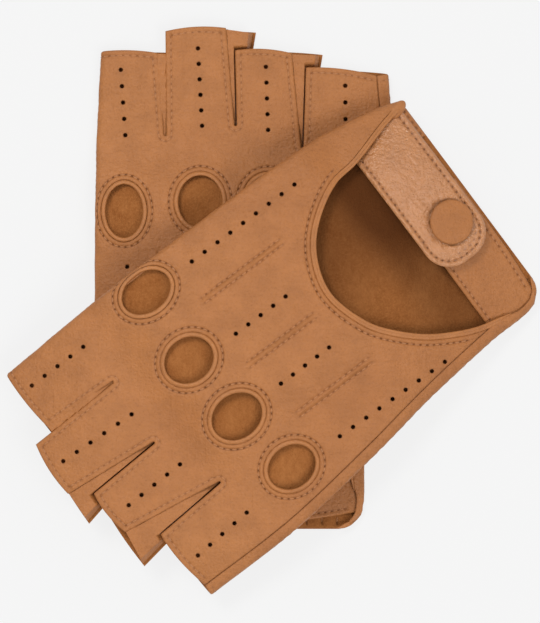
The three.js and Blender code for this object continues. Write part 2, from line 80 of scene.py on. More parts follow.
# Each finger is (thumb-side tip corner, pinky-side tip corner). Knuckles are (x, y, half width
# across, half width along) of what shows through, and punches are (first, last, how many).
lies = {
    "left": {
        "pinkyTip": -47.8,
        "back": [((60, 68.4), (24.8, 68)), ((22.8, 74.3), (4.4, 75.4)),
                 ((-0.3, 68.9), (-15.8, 68.2)), ((-23, 59.9), (-60, 58))],
        "palm": [((60, 68.4), (17, 68)), ((14.5, 74.3), (-7, 75.8)),
                 ((-9.5, 69.4), (-28, 70)), ((-30.5, 59.2), (-60, 58))],
        "crotches": [(24, 43.5), (1.2, 44.5), (-21, 35.5)],
        "knuckles": [(40.1, 18.1, 6.2, 8.2), (15.2, 20.1, 6.9, 8), (-7.75, 18.7, 6.9, 8.3),
                     (-30.6, 14.5, 6.6, 7.8)],
        "punches": [((38.3, 44.1), (38.3, 64.3), 5), ((12.4, 44.6), (13.5, 70.5), 6),
                    ((-9.1, 41.9), (-9.7, 62.3), 5), ((-33.6, 34.3), (-35.2, 54.5), 5),
                    ((39.2, 1), (39.2, -38.9), 9), ((13, 3.5), (13, -15.8), 5),
                    ((-7.8, 1.6), (-7.8, -17.1), 5), ((-32, -3.2), (-33.2, -43.4), 9)],
        "tucks": [((27.4, 5.5), (27.4, -25)), ((2.9, 6.2), (2.9, -19.4)),
                  ((-18.7, 3.1), (-18.7, -25))],
    },
    "right": {
        "pinkyTip": -44.5,
        "back": [((60, 68.1), (28, 68.1)), ((25.6, 74.9), (6.6, 75.9)),
                 ((3.75, 68.9), (-14, 68)), ((-18.5, 63.5), (-60, 60.6))],
        "palm": [((60, 68.1), (19, 68.1)), ((16.5, 74.9), (-2.8, 74.6)),
                 ((-5.3, 68.5), (-23.75, 67.6)), ((-26.25, 62.8), (-60, 60.6))],
        "crotches": [(25.7, 42.4), (3.6, 45.6), (-17.3, 38.6)],
        "knuckles": [(38.5, 18.5, 5.9, 8.4), (14.6, 21.4, 6.9, 8.2), (-6.6, 21.2, 6.9, 8.2),
                     (-28.6, 16.5, 6.6, 7.9)],
        "punches": [((38.2, 42.3), (39.6, 62.8), 5), ((14.1, 45.2), (15.4, 69.5), 6),
                    ((-6.6, 43.9), (-5.9, 63.7), 5), ((-31, 36.8), (-30.8, 57.8), 5),
                    ((37.5, 1), (38, -38.9), 9), ((13, 3.5), (13, -15.8), 5),
                    ((-7, 1.6), (-7, -17.1), 5), ((-31, -3.2), (-32.5, -43.4), 9)],
        "tucks": [((27, 5.5), (27, -25)), ((3.5, 6.2), (3.5, -19.4)), ((-18, 3.1), (-18, -25))],
    },
}
strapSize = {
    "low": -79.7, "high": -58.4, "end": -12, "corner": 9, "thick": 1.4, "inset": 3.2,
    "run": [(52, 0), (39, 0), (34, 0.07), (30, 0.25), (24, 0.53), (18, 0.76), (12, 0.93),
            (7, 1), (-6, 1), (-10, 0.96), (-14, 0.9)],  # (x, share of the climb)
    "rootLevel": 1.35, "level": 9.5, "bendFrom": 34, "bendTo": 26,
    "sewn": 1.8, "sewnAgain": 3.2, "sunk": 0.14,  # the two rows of stitches, and how deep they lie
}
tabSize = {
    "low": {"right": -78.4, "left": -80.2}, "high": -61, "end": 11, "thick": 1.2, "level": 6,
    "sewn": 1.6, "sunk": 0.13,
    "run": [(-35, 0), (-30, 0.12), (-20, 0.5), (-12, 0.85), (-6, 1), (14, 1)],
}
snapSize = {"x": 0.9, "y": -70.6, "cap": 7.0, "height": 1.8}
thumbSize = {
    "root": (33, -30), "tucked": 128, "rootWidth": 23, "tipWidth": 20, "length": 47,
    "height": 2.7, "floor": 0.1, "wall": 0.8, "hole": 9,
}
thumbRise = 3.3  # the tucked thumb lifts the palm by this much
riseSize = {"west": -6.62, "north": 21.55, "south": -43.5, "fall": 18}
stitchSize = {"pitch": 2.1, "long": 0.78, "wide": 0.2, "high": 0.15, "needle": 0.36,
              "sunk": 0.12}


def through(points):
    # a smooth line through a few points, as a function of their first number
    xs, ys = np.array(sorted(points), float).T
    n = len(xs)
    before, after = np.maximum(np.arange(n) - 1, 0), np.minimum(np.arange(n) + 1, n - 1)
    slope = (ys[after] - ys[before]) / (xs[after] - xs[before])

    def line(v):
        v = np.asarray(v, float)
        i = np.minimum(np.searchsorted(xs[1:], v, side="left"), n - 2)
        span = xs[i + 1] - xs[i]
        u = (v - xs[i]) / span
        inside = ((2 * u**3 - 3 * u**2 + 1) * ys[i] + (u**3 - 2 * u**2 + u) * span * slope[i]
                  + (3 * u**2 - 2 * u**3) * ys[i + 1] + (u**3 - u**2) * span * slope[i + 1])
        below = ys[i] + slope[i] * (v - xs[i])
        above = ys[i + 1] + slope[i + 1] * (v - xs[i + 1])
        return np.where(u < 0, below, np.where(u > 1, above, inside))

    return line


def smooth(v):
    v = np.clip(v, 0, 1)
    return v * v * (3 - 2 * v)


thumbEdge = through(thumbSide)
pinkyEdge = {side: through(pinkySide + [(60, lies[side]["pinkyTip"])]) for side in sides}
turnAngle = math.radians(126.87)
laid = {"right": (-1, 0.0, (-7.2, 13)), "left": (1, turnAngle, (0, -15.2))}


def soften(d):
    return np.where(d <= 0, 0, np.where(d < 10, d * d / 20, d - 5))


def restOnRight(X, Y):
    # the left glove lies level over the right one and slopes down past its edges
    x, y = X + 7.2, Y - 13
    return (13.4 - 0.27 * (soften(x - 40) + soften(-x - 44)) - 0.27 * soften(-y - 81)
            - 0.2 * soften(y - 28))


def riseAt(x, y):
    def ramp(past, fall):
        return smooth(1 - past / fall)
    return (thumbRise * ramp(riseSize["west"] - x, riseSize["fall"])
            * ramp(y - riseSize["north"], riseSize["fall"])
            * ramp(riseSize["south"] - y, riseSize["south"] - strapSize["high"] - 2))


def turned(side, x, y):
    mirror, turn, at = laid[side]
    c, s = math.cos(turn), math.sin(turn)
    return c * mirror * x - s * y + at[0], s * mirror * x + c * y + at[1]


capLow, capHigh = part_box("right_snap_cap")
capX, capY = turned("right", snapSize["x"], snapSize["y"])
shiftX = (capLow.x + capHigh.x) / 2 / mm - capX
shiftY = (capLow.y + capHigh.y) / 2 / mm - capY
print("origin moved by", round(shiftX, 3), round(shiftY, 3), "mm")


def place(side, x, y, h, rise=None):
    # pattern frame to the shared frame, in metres
    x, y, h = np.broadcast_arrays(np.asarray(x, float), y, h)
    X, Y = turned(side, x, y)
    z = h + (riseAt(x, y) if rise is None else rise)
    if side == "left":
        z = z + restOnRight(X, Y)
    return np.stack([X + shiftX, Y + shiftY, z], -1) * mm


def backHeight(side, x, y):
    a, b = thumbEdge(y), pinkyEdge[side](y)
    across = np.minimum(1, np.abs(x - (a + b) / 2) / ((a - b) / 2 - hide["fold"]))
    share = smooth((y - 10) / 32)
    crown = hide["palmCrown"] * (1 - share) + hide["fingerCrown"] * share
    return 2 * hide["fold"] + crown * (1 - across ** hide["crownPower"])


def backPoint(side, x, y, lift):
    # the back, with the part past the thumb-side fold rolled round under itself
    fold = hide["fold"]
    turn = thumbEdge(y) - fold
    bend = np.maximum(x - turn, 0) / fold
    h = np.where(bend > 0, fold + (fold + lift) * np.cos(bend),
                 backHeight(side, np.minimum(x, turn), y) + lift)
    return place(side, np.where(bend > 0, turn + (fold + lift) * np.sin(bend), x), y, h)


def palmPoint(side, x, y, lift):
    # the palm, with the part past the pinky-side fold rolled up to the seam
    fold = hide["fold"]
    edge = pinkyEdge[side](y)
    run = np.maximum(edge + fold - x, 0)
    bend = np.minimum(run / fold, math.pi)
    over = np.maximum(run - math.pi * fold, 0)
    across = np.where(run > 0, edge + fold - (fold + lift) * np.sin(bend) + over, x)
    top = backHeight(side, edge + fold + over, y) + lift
    h = np.where(over > 0, top, np.where(run > 0, fold - (fold + lift) * np.cos(bend), -lift))
    return place(side, across, y, h)


def climb(run, low, high):
    return through([(x, low + (high - low) * share) for x, share in run])


strapHeight = climb(strapSize["run"], strapSize["rootLevel"], strapSize["level"])
tabHeight = climb(tabSize["run"], strapSize["rootLevel"], tabSize["level"])


def strapPoint(side, x, y, lift):
    return place(side, x, y, strapHeight(x) + strapSize["thick"] + lift)


def tabPoint(side, x, y, lift):
    return place(side, x, y, tabHeight(x) + tabSize["thick"] + lift)


# Lines on the flat pattern
def distanceAlong(line):
    return np.concatenate([[0], np.cumsum(np.hypot(*np.diff(line, axis=0).T))])


def resample(line, step):
    line = np.asarray(line, float)
    far = distanceAlong(line)
    at = np.linspace(0, far[-1], max(2, round(far[-1] / step) + 1))
    return np.stack([np.interp(at, far, line[:, k]) for k in (0, 1)], -1)


def leftOf(line, distance, ring=False):
    # the line moved to its left by a distance
    if ring:
        along = np.roll(line[:-1], -1, 0) - np.roll(line[:-1], 1, 0)
        along = np.vstack([along, along[:1]])
    else:
        along = np.gradient(line, axis=0)
    along = along / np.hypot(*along.T)[:, None]
    return line + distance * np.stack([-along[:, 1], along[:, 0]], -1)


def curve(points, count=160):
    # a smooth line through plan points, by their distance along it
    points = np.asarray(points, float)
    far = distanceAlong(points)
    at = np.linspace(0, far[-1], count)
    return np.stack([through(zip(far, points[:, k]))(at) for k in (0, 1)], -1)


def ellipse(x, y, rx, ry, count):
    # clockwise, so that the leather is on its left
    a = -np.linspace(0, 2 * math.pi, count + 1)
    return np.stack([x + rx * np.cos(a), y + ry * np.sin(a)], -1)


def treeOf(dots):
    tree = kdtree.KDTree(len(dots))
    for i, (x, y) in enumerate(dots):
        tree.insert((x, y, 0), i)
    tree.balance()
    return tree


class Trail:
    # finds how far points lie from drawn lines
    def __init__(self, *lines):
        self.a = np.vstack([line[:-1] for line in lines])
        self.b = np.vstack([line[1:] for line in lines])
        self.tree = treeOf((self.a + self.b) / 2)

    def away(self, points):
        near = np.array([self.tree.find((x, y, 0))[1] for x, y in points], int)
        best = np.full(len(points), 1e9)
        for step in (-1, 0, 1):
            i = np.clip(near + step, 0, len(self.a) - 1)
            a, ab = self.a[i], self.b[i] - self.a[i]
            t = np.clip(((points - a) * ab).sum(1) / np.maximum((ab**2).sum(1), 1e-12), 0, 1)
            best = np.minimum(best, np.hypot(*(points - a - ab * t[:, None]).T))
        return best


def nearestDot(dots, points):
    tree = treeOf(dots)
    found = [tree.find((x, y, 0)) for x, y in points]
    return np.array([f[2] for f in found]), np.array([f[1] for f in found], int)


def awayFrom(dots, points):
    return nearestDot(dots, points)[0]


def inside(points, loops):
    # even-odd rule over closed loops
    odd = np.zeros(len(points), bool)
    for loop in loops:
        low, high = loop.min(0), loop.max(0)
        pick = np.flatnonzero(((points >= low) & (points <= high)).all(1))
        if not len(pick):
            continue
        x, y = points[pick].T
        hits = np.zeros(len(pick), int)
        for (x0, y0), (x1, y1) in zip(loop[:-1], loop[1:]):
            crosses = (y0 > y) != (y1 > y)
            hits += crosses & (x < x0 + (x1 - x0) * (y - y0) / ((y1 - y0) or 1e-12))
        odd[pick] ^= hits % 2 == 1
    return odd


def needleRow(line, distance, walls, ring=False):
    # needle holes at an even pitch along a line moved to its left, clear of the walls
    row = leftOf(line, distance, ring)
    row = row[Trail(*walls).away(row) > 0.96 * distance]
    if ring:
        row = np.vstack([row, row[:1]])
    return resample(row, stitchSize["pitch"])


def hump(d, at, width):
    # 1 at a distance, fading out on both sides of it
    return np.exp(-((d - at) / width) ** 2)


def rolled(d, depth, width):
    # how far a cut edge rounds down, by the distance to it
    return -depth * np.clip(1 - d / width, 0, 1) ** 2


def furrow(d, at, depth, width):
    return -depth * hump(d, at, width)


class Cut:
    # one flat cut of leather: outlines with kinds, rows of needle holes, tucks
    def __init__(self, spacing):
        self.spacing = spacing
        self.outer, self.holes, self.rows, self.pull, self.extra = [], [], [], [], []

    def sew(self, row, pull):
        # pull is how hard the thread draws the leather in, from 0 to 1
        self.rows.append(row)
        self.pull.append(pull)

    def needleMarks(self, flat):
        # depth that the needle holes add, and the painted shade in them
        dots, ways = np.vstack(self.rows), self.rowWays()
        away, which = nearestDot(dots, flat)
        pull = np.repeat(self.pull, [len(row) for row in self.rows])[which]
        along = ((flat - dots[which]) * ways[which]).sum(1)
        across = np.sqrt(np.maximum(away**2 - along**2, 0))
        mark = np.exp(-(along / 0.5) ** 2 - (across / 0.24) ** 2)
        return 0.28 * pull * mark, pull * mark

    def rowWays(self):
        ways = np.vstack([np.gradient(row, axis=0) for row in self.rows])
        return ways / np.hypot(*ways.T)[:, None]

    def loops(self):
        chain = np.vstack([line[:-1] for _, line, _ in self.outer])
        return [np.vstack([chain, chain[:1]])] + [line for _, line, _ in self.holes]

    def walls(self):
        return [line for _, line, _ in self.outer + self.holes]

    def away(self, kind, flat):
        # how far points lie from the outlines of one kind
        return Trail(*[line for k, line, _ in self.outer + self.holes if k == kind]).away(flat)

    def mesh(self):
        loops = self.loops()
        trail = Trail(*loops)
        picked = []
        for outlines, ring in ((self.outer, False), (self.holes, True)):
            for _, line, distances in outlines:
                for d in distances:
                    row = leftOf(line, d, ring)
                    picked.append(row[trail.away(row) > 0.9 * d])
        picked += self.extra
        points = np.vstack(picked) if picked else np.zeros((0, 2))
        needles = np.vstack(self.rows) if self.rows else np.zeros((0, 2))
        if len(needles):
            r = stitchSize["needle"]
            points = points[awayFrom(needles, points) > 1.35 * r]
            a = np.linspace(0, 2 * math.pi, 7)[:-1]
            ways = self.rowWays()
            beside = np.stack([-ways[:, 1], ways[:, 0]], -1)
            rings = [needles + k * (1.5 * math.cos(t) * ways + 0.8 * math.sin(t) * beside)
                     for t in a for k in (0.5 * r, r)]
            points = np.vstack([points, needles] + rings)
        low, high = loops[0].min(0), loops[0].max(0)
        s = self.spacing
        xs = np.arange(low[0], high[0], s)
        ys = np.arange(low[1], high[1], s * 0.866)
        grid = np.stack(np.meshgrid(xs, ys), -1)
        grid[1::2, :, 0] += s / 2
        grid = grid.reshape(-1, 2)
        grid = grid[inside(grid, loops)]
        edgePoints = np.vstack(loops)
        grid = grid[awayFrom(np.vstack([points, edgePoints]), grid) > 0.62 * s]
        everything, pairs = [], []
        for loop in loops:
            start = sum(map(len, everything))
            n = len(loop) - 1
            everything.append(loop[:-1])
            pairs += [(start + i, start + (i + 1) % n) for i in range(n)]
        points = points[inside(points, loops) & (trail.away(points) > 0.04)]
        everything += [points, grid]
        flat, _, faces, *_ = delaunay_2d_cdt(
            [Vector(p) for p in np.vstack(everything)], pairs, [], 0, 1e-5)
        flat = np.array([tuple(v) for v in flat])
        faces = np.array([f for f in faces if len(f) == 3])
        faces = faces[inside(flat[faces].mean(1), loops)]
        return flat, faces


def finishMesh(name, bm, materials, sharp=40):
    data = bpy.data.meshes.new(name)
    bm.to_mesh(data)
    bm.free()
    data.polygons.foreach_set("use_smooth", [True] * len(data.polygons))
    data.set_sharp_from_angle(angle=math.radians(sharp))
    for material in materials:
        data.materials.append(material)
    made = bpy.data.objects.new(name, data)
    bpy.context.scene.collection.objects.link(made)
    return made


def leatherPiece(name, cut, outer, inner, shadeAndTone, materials, innerShade=None):
    # outer and inner give the two faces' places; the wall between them is extruded
    flat, faces = cut.mesh()
    data = bpy.data.meshes.new(name + "_flat")
    data.from_pydata([(x, y, 0) for x, y in flat], [], faces.tolist())
    bm = bmesh.new()
    bm.from_mesh(data)
    bpy.data.meshes.remove(data)
    source = bm.verts.layers.int.new("source")
    dark = bm.verts.layers.float.new("shadeAndTone")
    # shadeAndTone(flat) gives the painted shade at each point of the outer face
    shade = shadeAndTone(flat)
    for i, v in enumerate(bm.verts):
        v[source] = i
        v[dark] = shade[i]
    bm.normal_update()
    made = bmesh.ops.extrude_face_region(bm, geom=bm.faces[:], use_keep_orig=True)
    top = {v for v in made["geom"] if isinstance(v, bmesh.types.BMVert)}
    topFaces = {f for f in made["geom"] if isinstance(f, bmesh.types.BMFace)}
    high, low = outer(flat), inner(flat)
    # the inner face gets painted shade too: 0.6 of the outer face's, unless innerShade gives its own
    under = shade * 0.6 if innerShade is None else innerShade(*flat.T)
    for f in bm.faces:
        tops = sum(v in top for v in f.verts)
        f.material_index = 0 if f in topFaces else (1 if tops == 0 else 2)
    for v in bm.verts:
        v.co = high[v[source]] if v in top else low[v[source]]
        if v not in top:
            v[dark] = under[v[source]]
    bm.verts.layers.int.remove(source)
    bmesh.ops.recalc_face_normals(bm, faces=bm.faces[:])
    return finishMesh(name, bm, materials)


def mapped(name, cellsU, cellsV, point, material, wall=0, sharp=40, dark=None, merge=2e-6,
           openAt=None):
    # a grid laid onto point(u, v), which works on arrays; the faces that openAt picks are left out
    bm = bmesh.new()
    bmesh.ops.create_grid(bm, x_segments=cellsU, y_segments=cellsV, size=0.5)
    u = np.array([v.co.x + 0.5 for v in bm.verts])
    w = np.array([v.co.y + 0.5 for v in bm.verts])
    # the shadeAndTone attribute holds the painted shade that dark(u, w) gives
    layer = bm.verts.layers.float.new("shadeAndTone")
    shade = dark(u, w) if dark else 0 * u
    for v, co, value in zip(bm.verts, point(u, w), shade):
        v.co, v[layer] = co, value
    bmesh.ops.remove_doubles(bm, verts=bm.verts[:], dist=merge)
    bmesh.ops.recalc_face_normals(bm, faces=bm.faces[:])
    if openAt:
        bmesh.ops.delete(bm, geom=[f for f in bm.faces if openAt(f)], context="FACES")
    if wall:
        bmesh.ops.solidify(bm, geom=bm.faces[:], thickness=wall * mm)
        bmesh.ops.recalc_face_normals(bm, faces=bm.faces[:])
    return finishMesh(name, bm, [material], sharp)


def belongs(piece, body, slotName, *nodes):
    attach(piece, body)
    if nodes:
        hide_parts(*nodes)
    return piece


# Finishes
class Signal:
    # a value on its way through a shader; arithmetic on it adds Math nodes
    def __init__(self, paint, socket):
        self.paint, self.socket = paint, socket

    def math(self, operation, first, second):
        node = self.paint.add("ShaderNodeMath", {"operation": operation}, {0: first, 1: second})
        return Signal(self.paint, node.outputs[0])

    def __add__(self, other): return self.math("ADD", self, other)
    def __radd__(self, other): return self.math("ADD", other, self)
    def __sub__(self, other): return self.math("SUBTRACT", self, other)
    def __rsub__(self, other): return self.math("SUBTRACT", other, self)
    def __mul__(self, other): return self.math("MULTIPLY", self, other)
    def __rmul__(self, other): return self.math("MULTIPLY", other, self)

    def clamped(self):
        return self.math("MINIMUM", self.math("MAXIMUM", self, 0.0), 1.0)


class Paint:
    def __init__(self, name, **values):
        self.material = bpy.data.materials.new(name)
        self.material.use_nodes = True
        self.tree = self.material.node_tree
        self.shader = next(n for n in self.tree.nodes if n.type == "BSDF_PRINCIPLED")
        for socket, value in values.items():
            self.shader.inputs[socket.replace("_", " ")].default_value = value

    def add(self, kind, settings, values):
        node = self.tree.nodes.new(kind)
        for key, value in settings.items():
            setattr(node, key, value)
        for key, value in values.items():
            self.put(value, node.inputs[key])
        return node

    def put(self, value, socket):
        if isinstance(value, Signal):
            value = value.socket
        if isinstance(value, bpy.types.NodeSocket):
            self.tree.links.new(value, socket)
        elif isinstance(value, tuple) and len(value) == 3 and socket.type == "RGBA":
            socket.default_value = (*value, 1)
        else:
            socket.default_value = value

    def objectPlace(self):
        return self.add("ShaderNodeTexCoord", {}, {}).outputs["Object"]

    def place(self, scale, turn=0.0):
        return self.add("ShaderNodeMapping", {}, {
            "Vector": self.objectPlace(), "Rotation": (0, 0, turn), "Scale": scale}).outputs[0]

    def noise(self, scale, detail=2.0, roughness=0.5, at=None, distortion=0.0):
        node = self.add("ShaderNodeTexNoise", {}, {
            "Vector": at or self.objectPlace(), "Scale": scale, "Detail": detail,
            "Roughness": roughness, "Distortion": distortion})
        return Signal(self, node.outputs[0])

    def cells(self, scale):
        node = self.add("ShaderNodeTexVoronoi", {"feature": "SMOOTH_F1"},
                        {"Vector": self.objectPlace(), "Scale": scale})
        return Signal(self, node.outputs["Distance"])

    def mix(self, share, first, second):
        return self.add("ShaderNodeMix", {"data_type": "RGBA"},
                        {0: share, 6: first, 7: second}).outputs[2]

    def attribute(self, name):
        node = self.add("ShaderNodeAttribute", {"attribute_name": name}, {})
        return Signal(self, node.outputs["Fac"])

    def bump(self, height, strength, distance):
        node = self.add("ShaderNodeBump", {}, {
            "Height": height, "Strength": strength, "Distance": distance * mm})
        self.put(node.outputs[0], self.shader.inputs["Normal"])

    def end(self, colour, rough):
        self.put(colour, self.shader.inputs["Base Color"])
        self.put(rough, self.shader.inputs["Roughness"])
        return self.material


def leather(name, tan, deep, shadow, rough, grain=0.5, pebble=0.0, gloss=0.32):
    p = Paint(name, Specular_IOR_Level=gloss)
    broad = p.noise(24, 2)
    patch = p.noise(130, 3, 0.6)
    pores = p.cells(1250)
    fine = p.noise(2600, 2, 0.6)
    pull = p.noise(1, 3, 0.6, at=p.place((520, 130, 240), 0.5), distortion=0.8)
    wrinkle = p.noise(1, 4, 0.7, at=p.place((300, 900, 400), -0.4), distortion=1.2)
    height = pores * (1.2 * grain) + fine * (0.8 * grain) + pull + wrinkle * (1.6 * grain)
    if pebble:
        height = height + p.noise(620, 3, 0.55) * pebble
    p.bump(height, 0.85, 0.36)
    shadeAndTone = p.attribute("shadeAndTone")
    colour = p.mix((broad * 1.6 - 0.4).clamped(), tan, deep)
    colour = p.mix((patch * 1.5 - 0.55).clamped() * 0.35, colour, shadow)
    colour = p.mix(((0.42 - pores) * 1.6).clamped() * 0.2, colour, shadow)
    # painted shade in the valleys of the wrinkles
    colour = p.mix(((0.46 - wrinkle) * 4.0).clamped() * 0.16, colour, shadow)
    # painted shade from the shadeAndTone attribute (on the snap button a darker tone), which also makes
    # the finish rougher there
    colour = p.mix((shadeAndTone * 0.8).clamped(), colour, shadow)
    return p.end(colour, (rough + (patch - 0.5) * 0.16 + shadeAndTone * 0.2).clamped())


def suede(name, light, dark):
    p = Paint(name, Specular_IOR_Level=0.1)
    nap = p.noise(1, 4, 0.7, at=p.place((700, 330, 600), 0.9), distortion=0.8)
    patch = p.noise(70, 4, 0.65, distortion=0.6)
    fuzz = p.noise(1500, 3, 0.75)
    p.bump(nap * 0.8 + fuzz * 0.8, 0.9, 0.5)
    colour = p.mix((patch * 2.6 - 0.85).clamped(), dark, light)
    colour = p.mix((nap * 3 - 1.1).clamped() * 0.75, colour, dark)
    colour = p.mix((fuzz * 4 - 1.7).clamped() * 0.6, colour, light)
    # painted shade from the shadeAndTone attribute, towards a near-black brown
    colour = p.mix(p.attribute("shadeAndTone").clamped(), colour, (0.07, 0.02, 0.004))
    return p.end(colour, 0.92 - fuzz * 0.08)


# the dark brown that the leathers mix in for darker patches and pores, and for painted shade in
# wrinkles, seams, edges and holes
creaseBrown = (0.085, 0.026, 0.008)
gloveLeather = leather("glove_leather", (0.4, 0.152, 0.043), (0.35, 0.126, 0.033), creaseBrown, 0.48)
edgeLeather = leather("edge_leather", (0.42, 0.165, 0.05), (0.37, 0.138, 0.039), creaseBrown, 0.45,
                      grain=0.35)
cutLeather = leather("cut_leather", (0.33, 0.13, 0.042), (0.27, 0.1, 0.03), creaseBrown, 0.8, grain=0.9)
# a lighter tan than the glove leather, partly painted highlight: the whole strap's colour is raised
# towards the brightness of its highlight
strapLeather = leather("strap_leather", (0.48, 0.203, 0.073), (0.43, 0.172, 0.057), creaseBrown, 0.32,
                       grain=0.45, pebble=2.8, gloss=0.7)
suedeLining = suede("suede_lining", (0.385, 0.15, 0.045), (0.235, 0.077, 0.018))


def sewingThread():
    p = Paint("sewing_thread", Specular_IOR_Level=0.3, Sheen_Weight=0.2)
    twist = p.noise(1, 1, 0.5, at=p.place((1800, 1800, 1800), 0.4))
    p.bump(twist, 0.5, 0.08)
    return p.end(p.mix((twist * 1.4 - 0.2).clamped(), (0.33, 0.13, 0.043), (0.45, 0.19, 0.07)), 0.6)


def gatherElastic():
    p = Paint("gather_elastic", Specular_IOR_Level=0.2)
    wave = p.add("ShaderNodeTexWave", {"bands_direction": "X"},
                 {"Vector": p.place((1, 1, 1)), "Scale": 420.0, "Distortion": 0.4})
    ribs = Signal(p, wave.outputs["Fac"])
    p.bump(ribs, 0.8, 0.25)
    return p.end(p.mix(ribs, (0.3, 0.14, 0.07), (0.42, 0.22, 0.11)), 0.85)


def brass():
    p = Paint("snap_brass", Metallic=1.0)
    wear = p.noise(300, 4, 0.6)
    scuff = p.noise(1, 3, 0.6, at=p.place((3000, 300, 300), 0.7))
    p.bump(scuff, 0.2, 0.05)
    return p.end(p.mix((wear * 2 - 0.5).clamped(), (0.68, 0.46, 0.19), (0.42, 0.27, 0.11)),
                 0.26 + wear * 0.22)


threadFinish, elasticFinish, brassFinish = sewingThread(), gatherElastic(), brass()
grainSuedeEdge = [gloveLeather, suedeLining, cutLeather]
print("finishes made")


# The cuts
def wristLine(distanceIn):
    # the wrist edge rounds off towards the silhouette
    return wristY + 1.5 * np.clip(1 - distanceIn / 3, 0, 1) ** 2


def tipLine(corner0, corner1, step, bulge):
    u = np.linspace(0, 1, 30)
    x = corner0[0] + (corner1[0] - corner0[0]) * u
    y = corner0[1] + (corner1[1] - corner0[1]) * u + bulge * (1 - (2 * u - 1) ** 2)
    return resample(np.stack([x, y], -1), step)


def crotchLine(corner0, crotch, corner1, step):
    # down one finger, round the crotch and up the next
    r = hide["crotch"]
    a = -np.linspace(0, math.pi, 9)
    turn = np.stack([crotch[0] + r * np.cos(a), crotch[1] + r * np.sin(a)], -1)
    down = resample([corner0, turn[0]], step)
    up = resample([turn[-1], corner1], step)
    return np.vstack([down[:-1], turn, up[1:]])


def tipsAndCrotches(tips, crotches, first, last, bulge):
    corners = [list(pair) for pair in tips]
    corners[0][0], corners[3][1] = first, last
    lines = []
    for i, (a, b) in enumerate(corners):
        lines.append(("tip", tipLine(a, b, 0.6, bulge)))
        if i < 3:
            lines.append(("slot", crotchLine(b, crotches[i], corners[i + 1][0], 0.6)))
    return lines


# distances from an outline at which the flat mesh gets rows of its own points
edgeRows = (0.12, 0.3, 0.55, 0.9)
sewnRows = (0.12, 0.3, 0.55, 0.9, 1.3, 2.1, 2.5)
ringRows = (0.12, 0.3, 0.55, 0.85, 1.15, 1.45, 1.75, 2.1, 2.6)
holeGap = 1.4  # from the opening that shows to the back's own edge, under the facing's bead
openingGap = 1.9  # the same for the band round the wrist opening
punchRadius = 0.66
offsets = {"tip": sewnRows, "slot": sewnRows, "fold": (0.5,), "wrist": edgeRows, "seam": edgeRows,
           "opening": ringRows, "knuckle": ringRows, "punch": (0.2, 0.42), "thumb": (0.5,)}


# how far in from its edge each outline of the back and palm is sewn, and how hard the thread pulls
sewn = {"knuckle": (1.6, 0.9), "opening": (1.6, 0.85), "tip": (1.7, 0.5), "slot": (1.7, 0.5)}
tuckPull = 0.32


def backCut(side):
    lie = lies[side]
    cut = Cut(1.25)
    seamX = lambda y: pinkyEdge[side](y) + hide["seam"] - 0.05
    foldX = lambda y: thumbEdge(y) - hide["fold"] + hide["fold"] * math.radians(90 + hide["foldEnd"])
    opening = leftOf(curve(wristOpening)[::-1], openingGap)[::-1]
    keep = (opening[:, 1] > wristY) & (opening[:, 0] > seamX(opening[:, 1]) + 0.05)
    opening = opening[keep][::-1]  # from the pinky seam to the wrist on the thumb side
    ys = np.linspace(wristLine(1.5), lie["back"][0][0][1], 120)
    fold = resample(np.stack([foldX(ys), ys], -1), 0.8)
    ys = np.linspace(lie["back"][3][1][1] + 0.35, opening[0][1], 120)
    seam = resample(np.stack([seamX(ys), ys], -1), 0.6)
    lines = [("fold", fold)]
    lines += tipsAndCrotches(lie["back"], lie["crotches"], tuple(fold[-1]), tuple(seam[0]), 0.9)
    lines += [("seam", seam), ("opening", resample(np.vstack([seam[-1:], opening]), 0.5))]
    lines += [("wrist", resample([lines[-1][1][-1], fold[0]], 0.6))]
    cut.outer = [(kind, line, offsets[kind]) for kind, line in lines]
    for x, y, rx, ry in lie["knuckles"]:
        cut.holes.append(("knuckle", ellipse(x, y, rx + holeGap, ry + holeGap, 96),
                          offsets["knuckle"]))
    for first, last, count in lie["punches"]:
        for u in np.linspace(0, 1, count):
            x, y = np.array(first) * (1 - u) + np.array(last) * u
            cut.holes.append(("punch", ellipse(x, y, punchRadius, punchRadius, 12),
                              offsets["punch"]))
    walls = [line for kind, line, _ in cut.outer + cut.holes if kind != "punch"]
    for kind, line, _ in cut.outer + cut.holes:
        if kind in sewn:
            row = needleRow(line, sewn[kind][0], walls, ring=kind == "knuckle")
            if kind == "opening":
                row = row[(row[:, 0] < 30) | (row[:, 1] > -52)]  # the horn over the strap has none
            cut.sew(row, sewn[kind][1])
    cut.tucks = []
    for top, foot in lie["tucks"]:
        line = resample([top, foot], 0.7)
        cut.tucks.append(line)
        for across in (-1, 1):
            cut.sew(resample(leftOf(line, across), stitchSize["pitch"]), tuckPull)
        cut.extra += [leftOf(line, d) for d in (-1.7, -1.3, -0.7, -0.35, 0, 0.35, 0.7, 1.3, 1.7)]
    return cut


def undulation(flat, size, seed):
    return np.array([noise.noise(Vector((x / size, y / size, seed))) for x, y in flat])


waveSeeds = {"right": 3.1, "left": 7.7}


def broadWave(side, flat):
    # the slow wave that both faces of a back and its thread follow
    return 0.22 * undulation(flat, 19, waveSeeds[side])


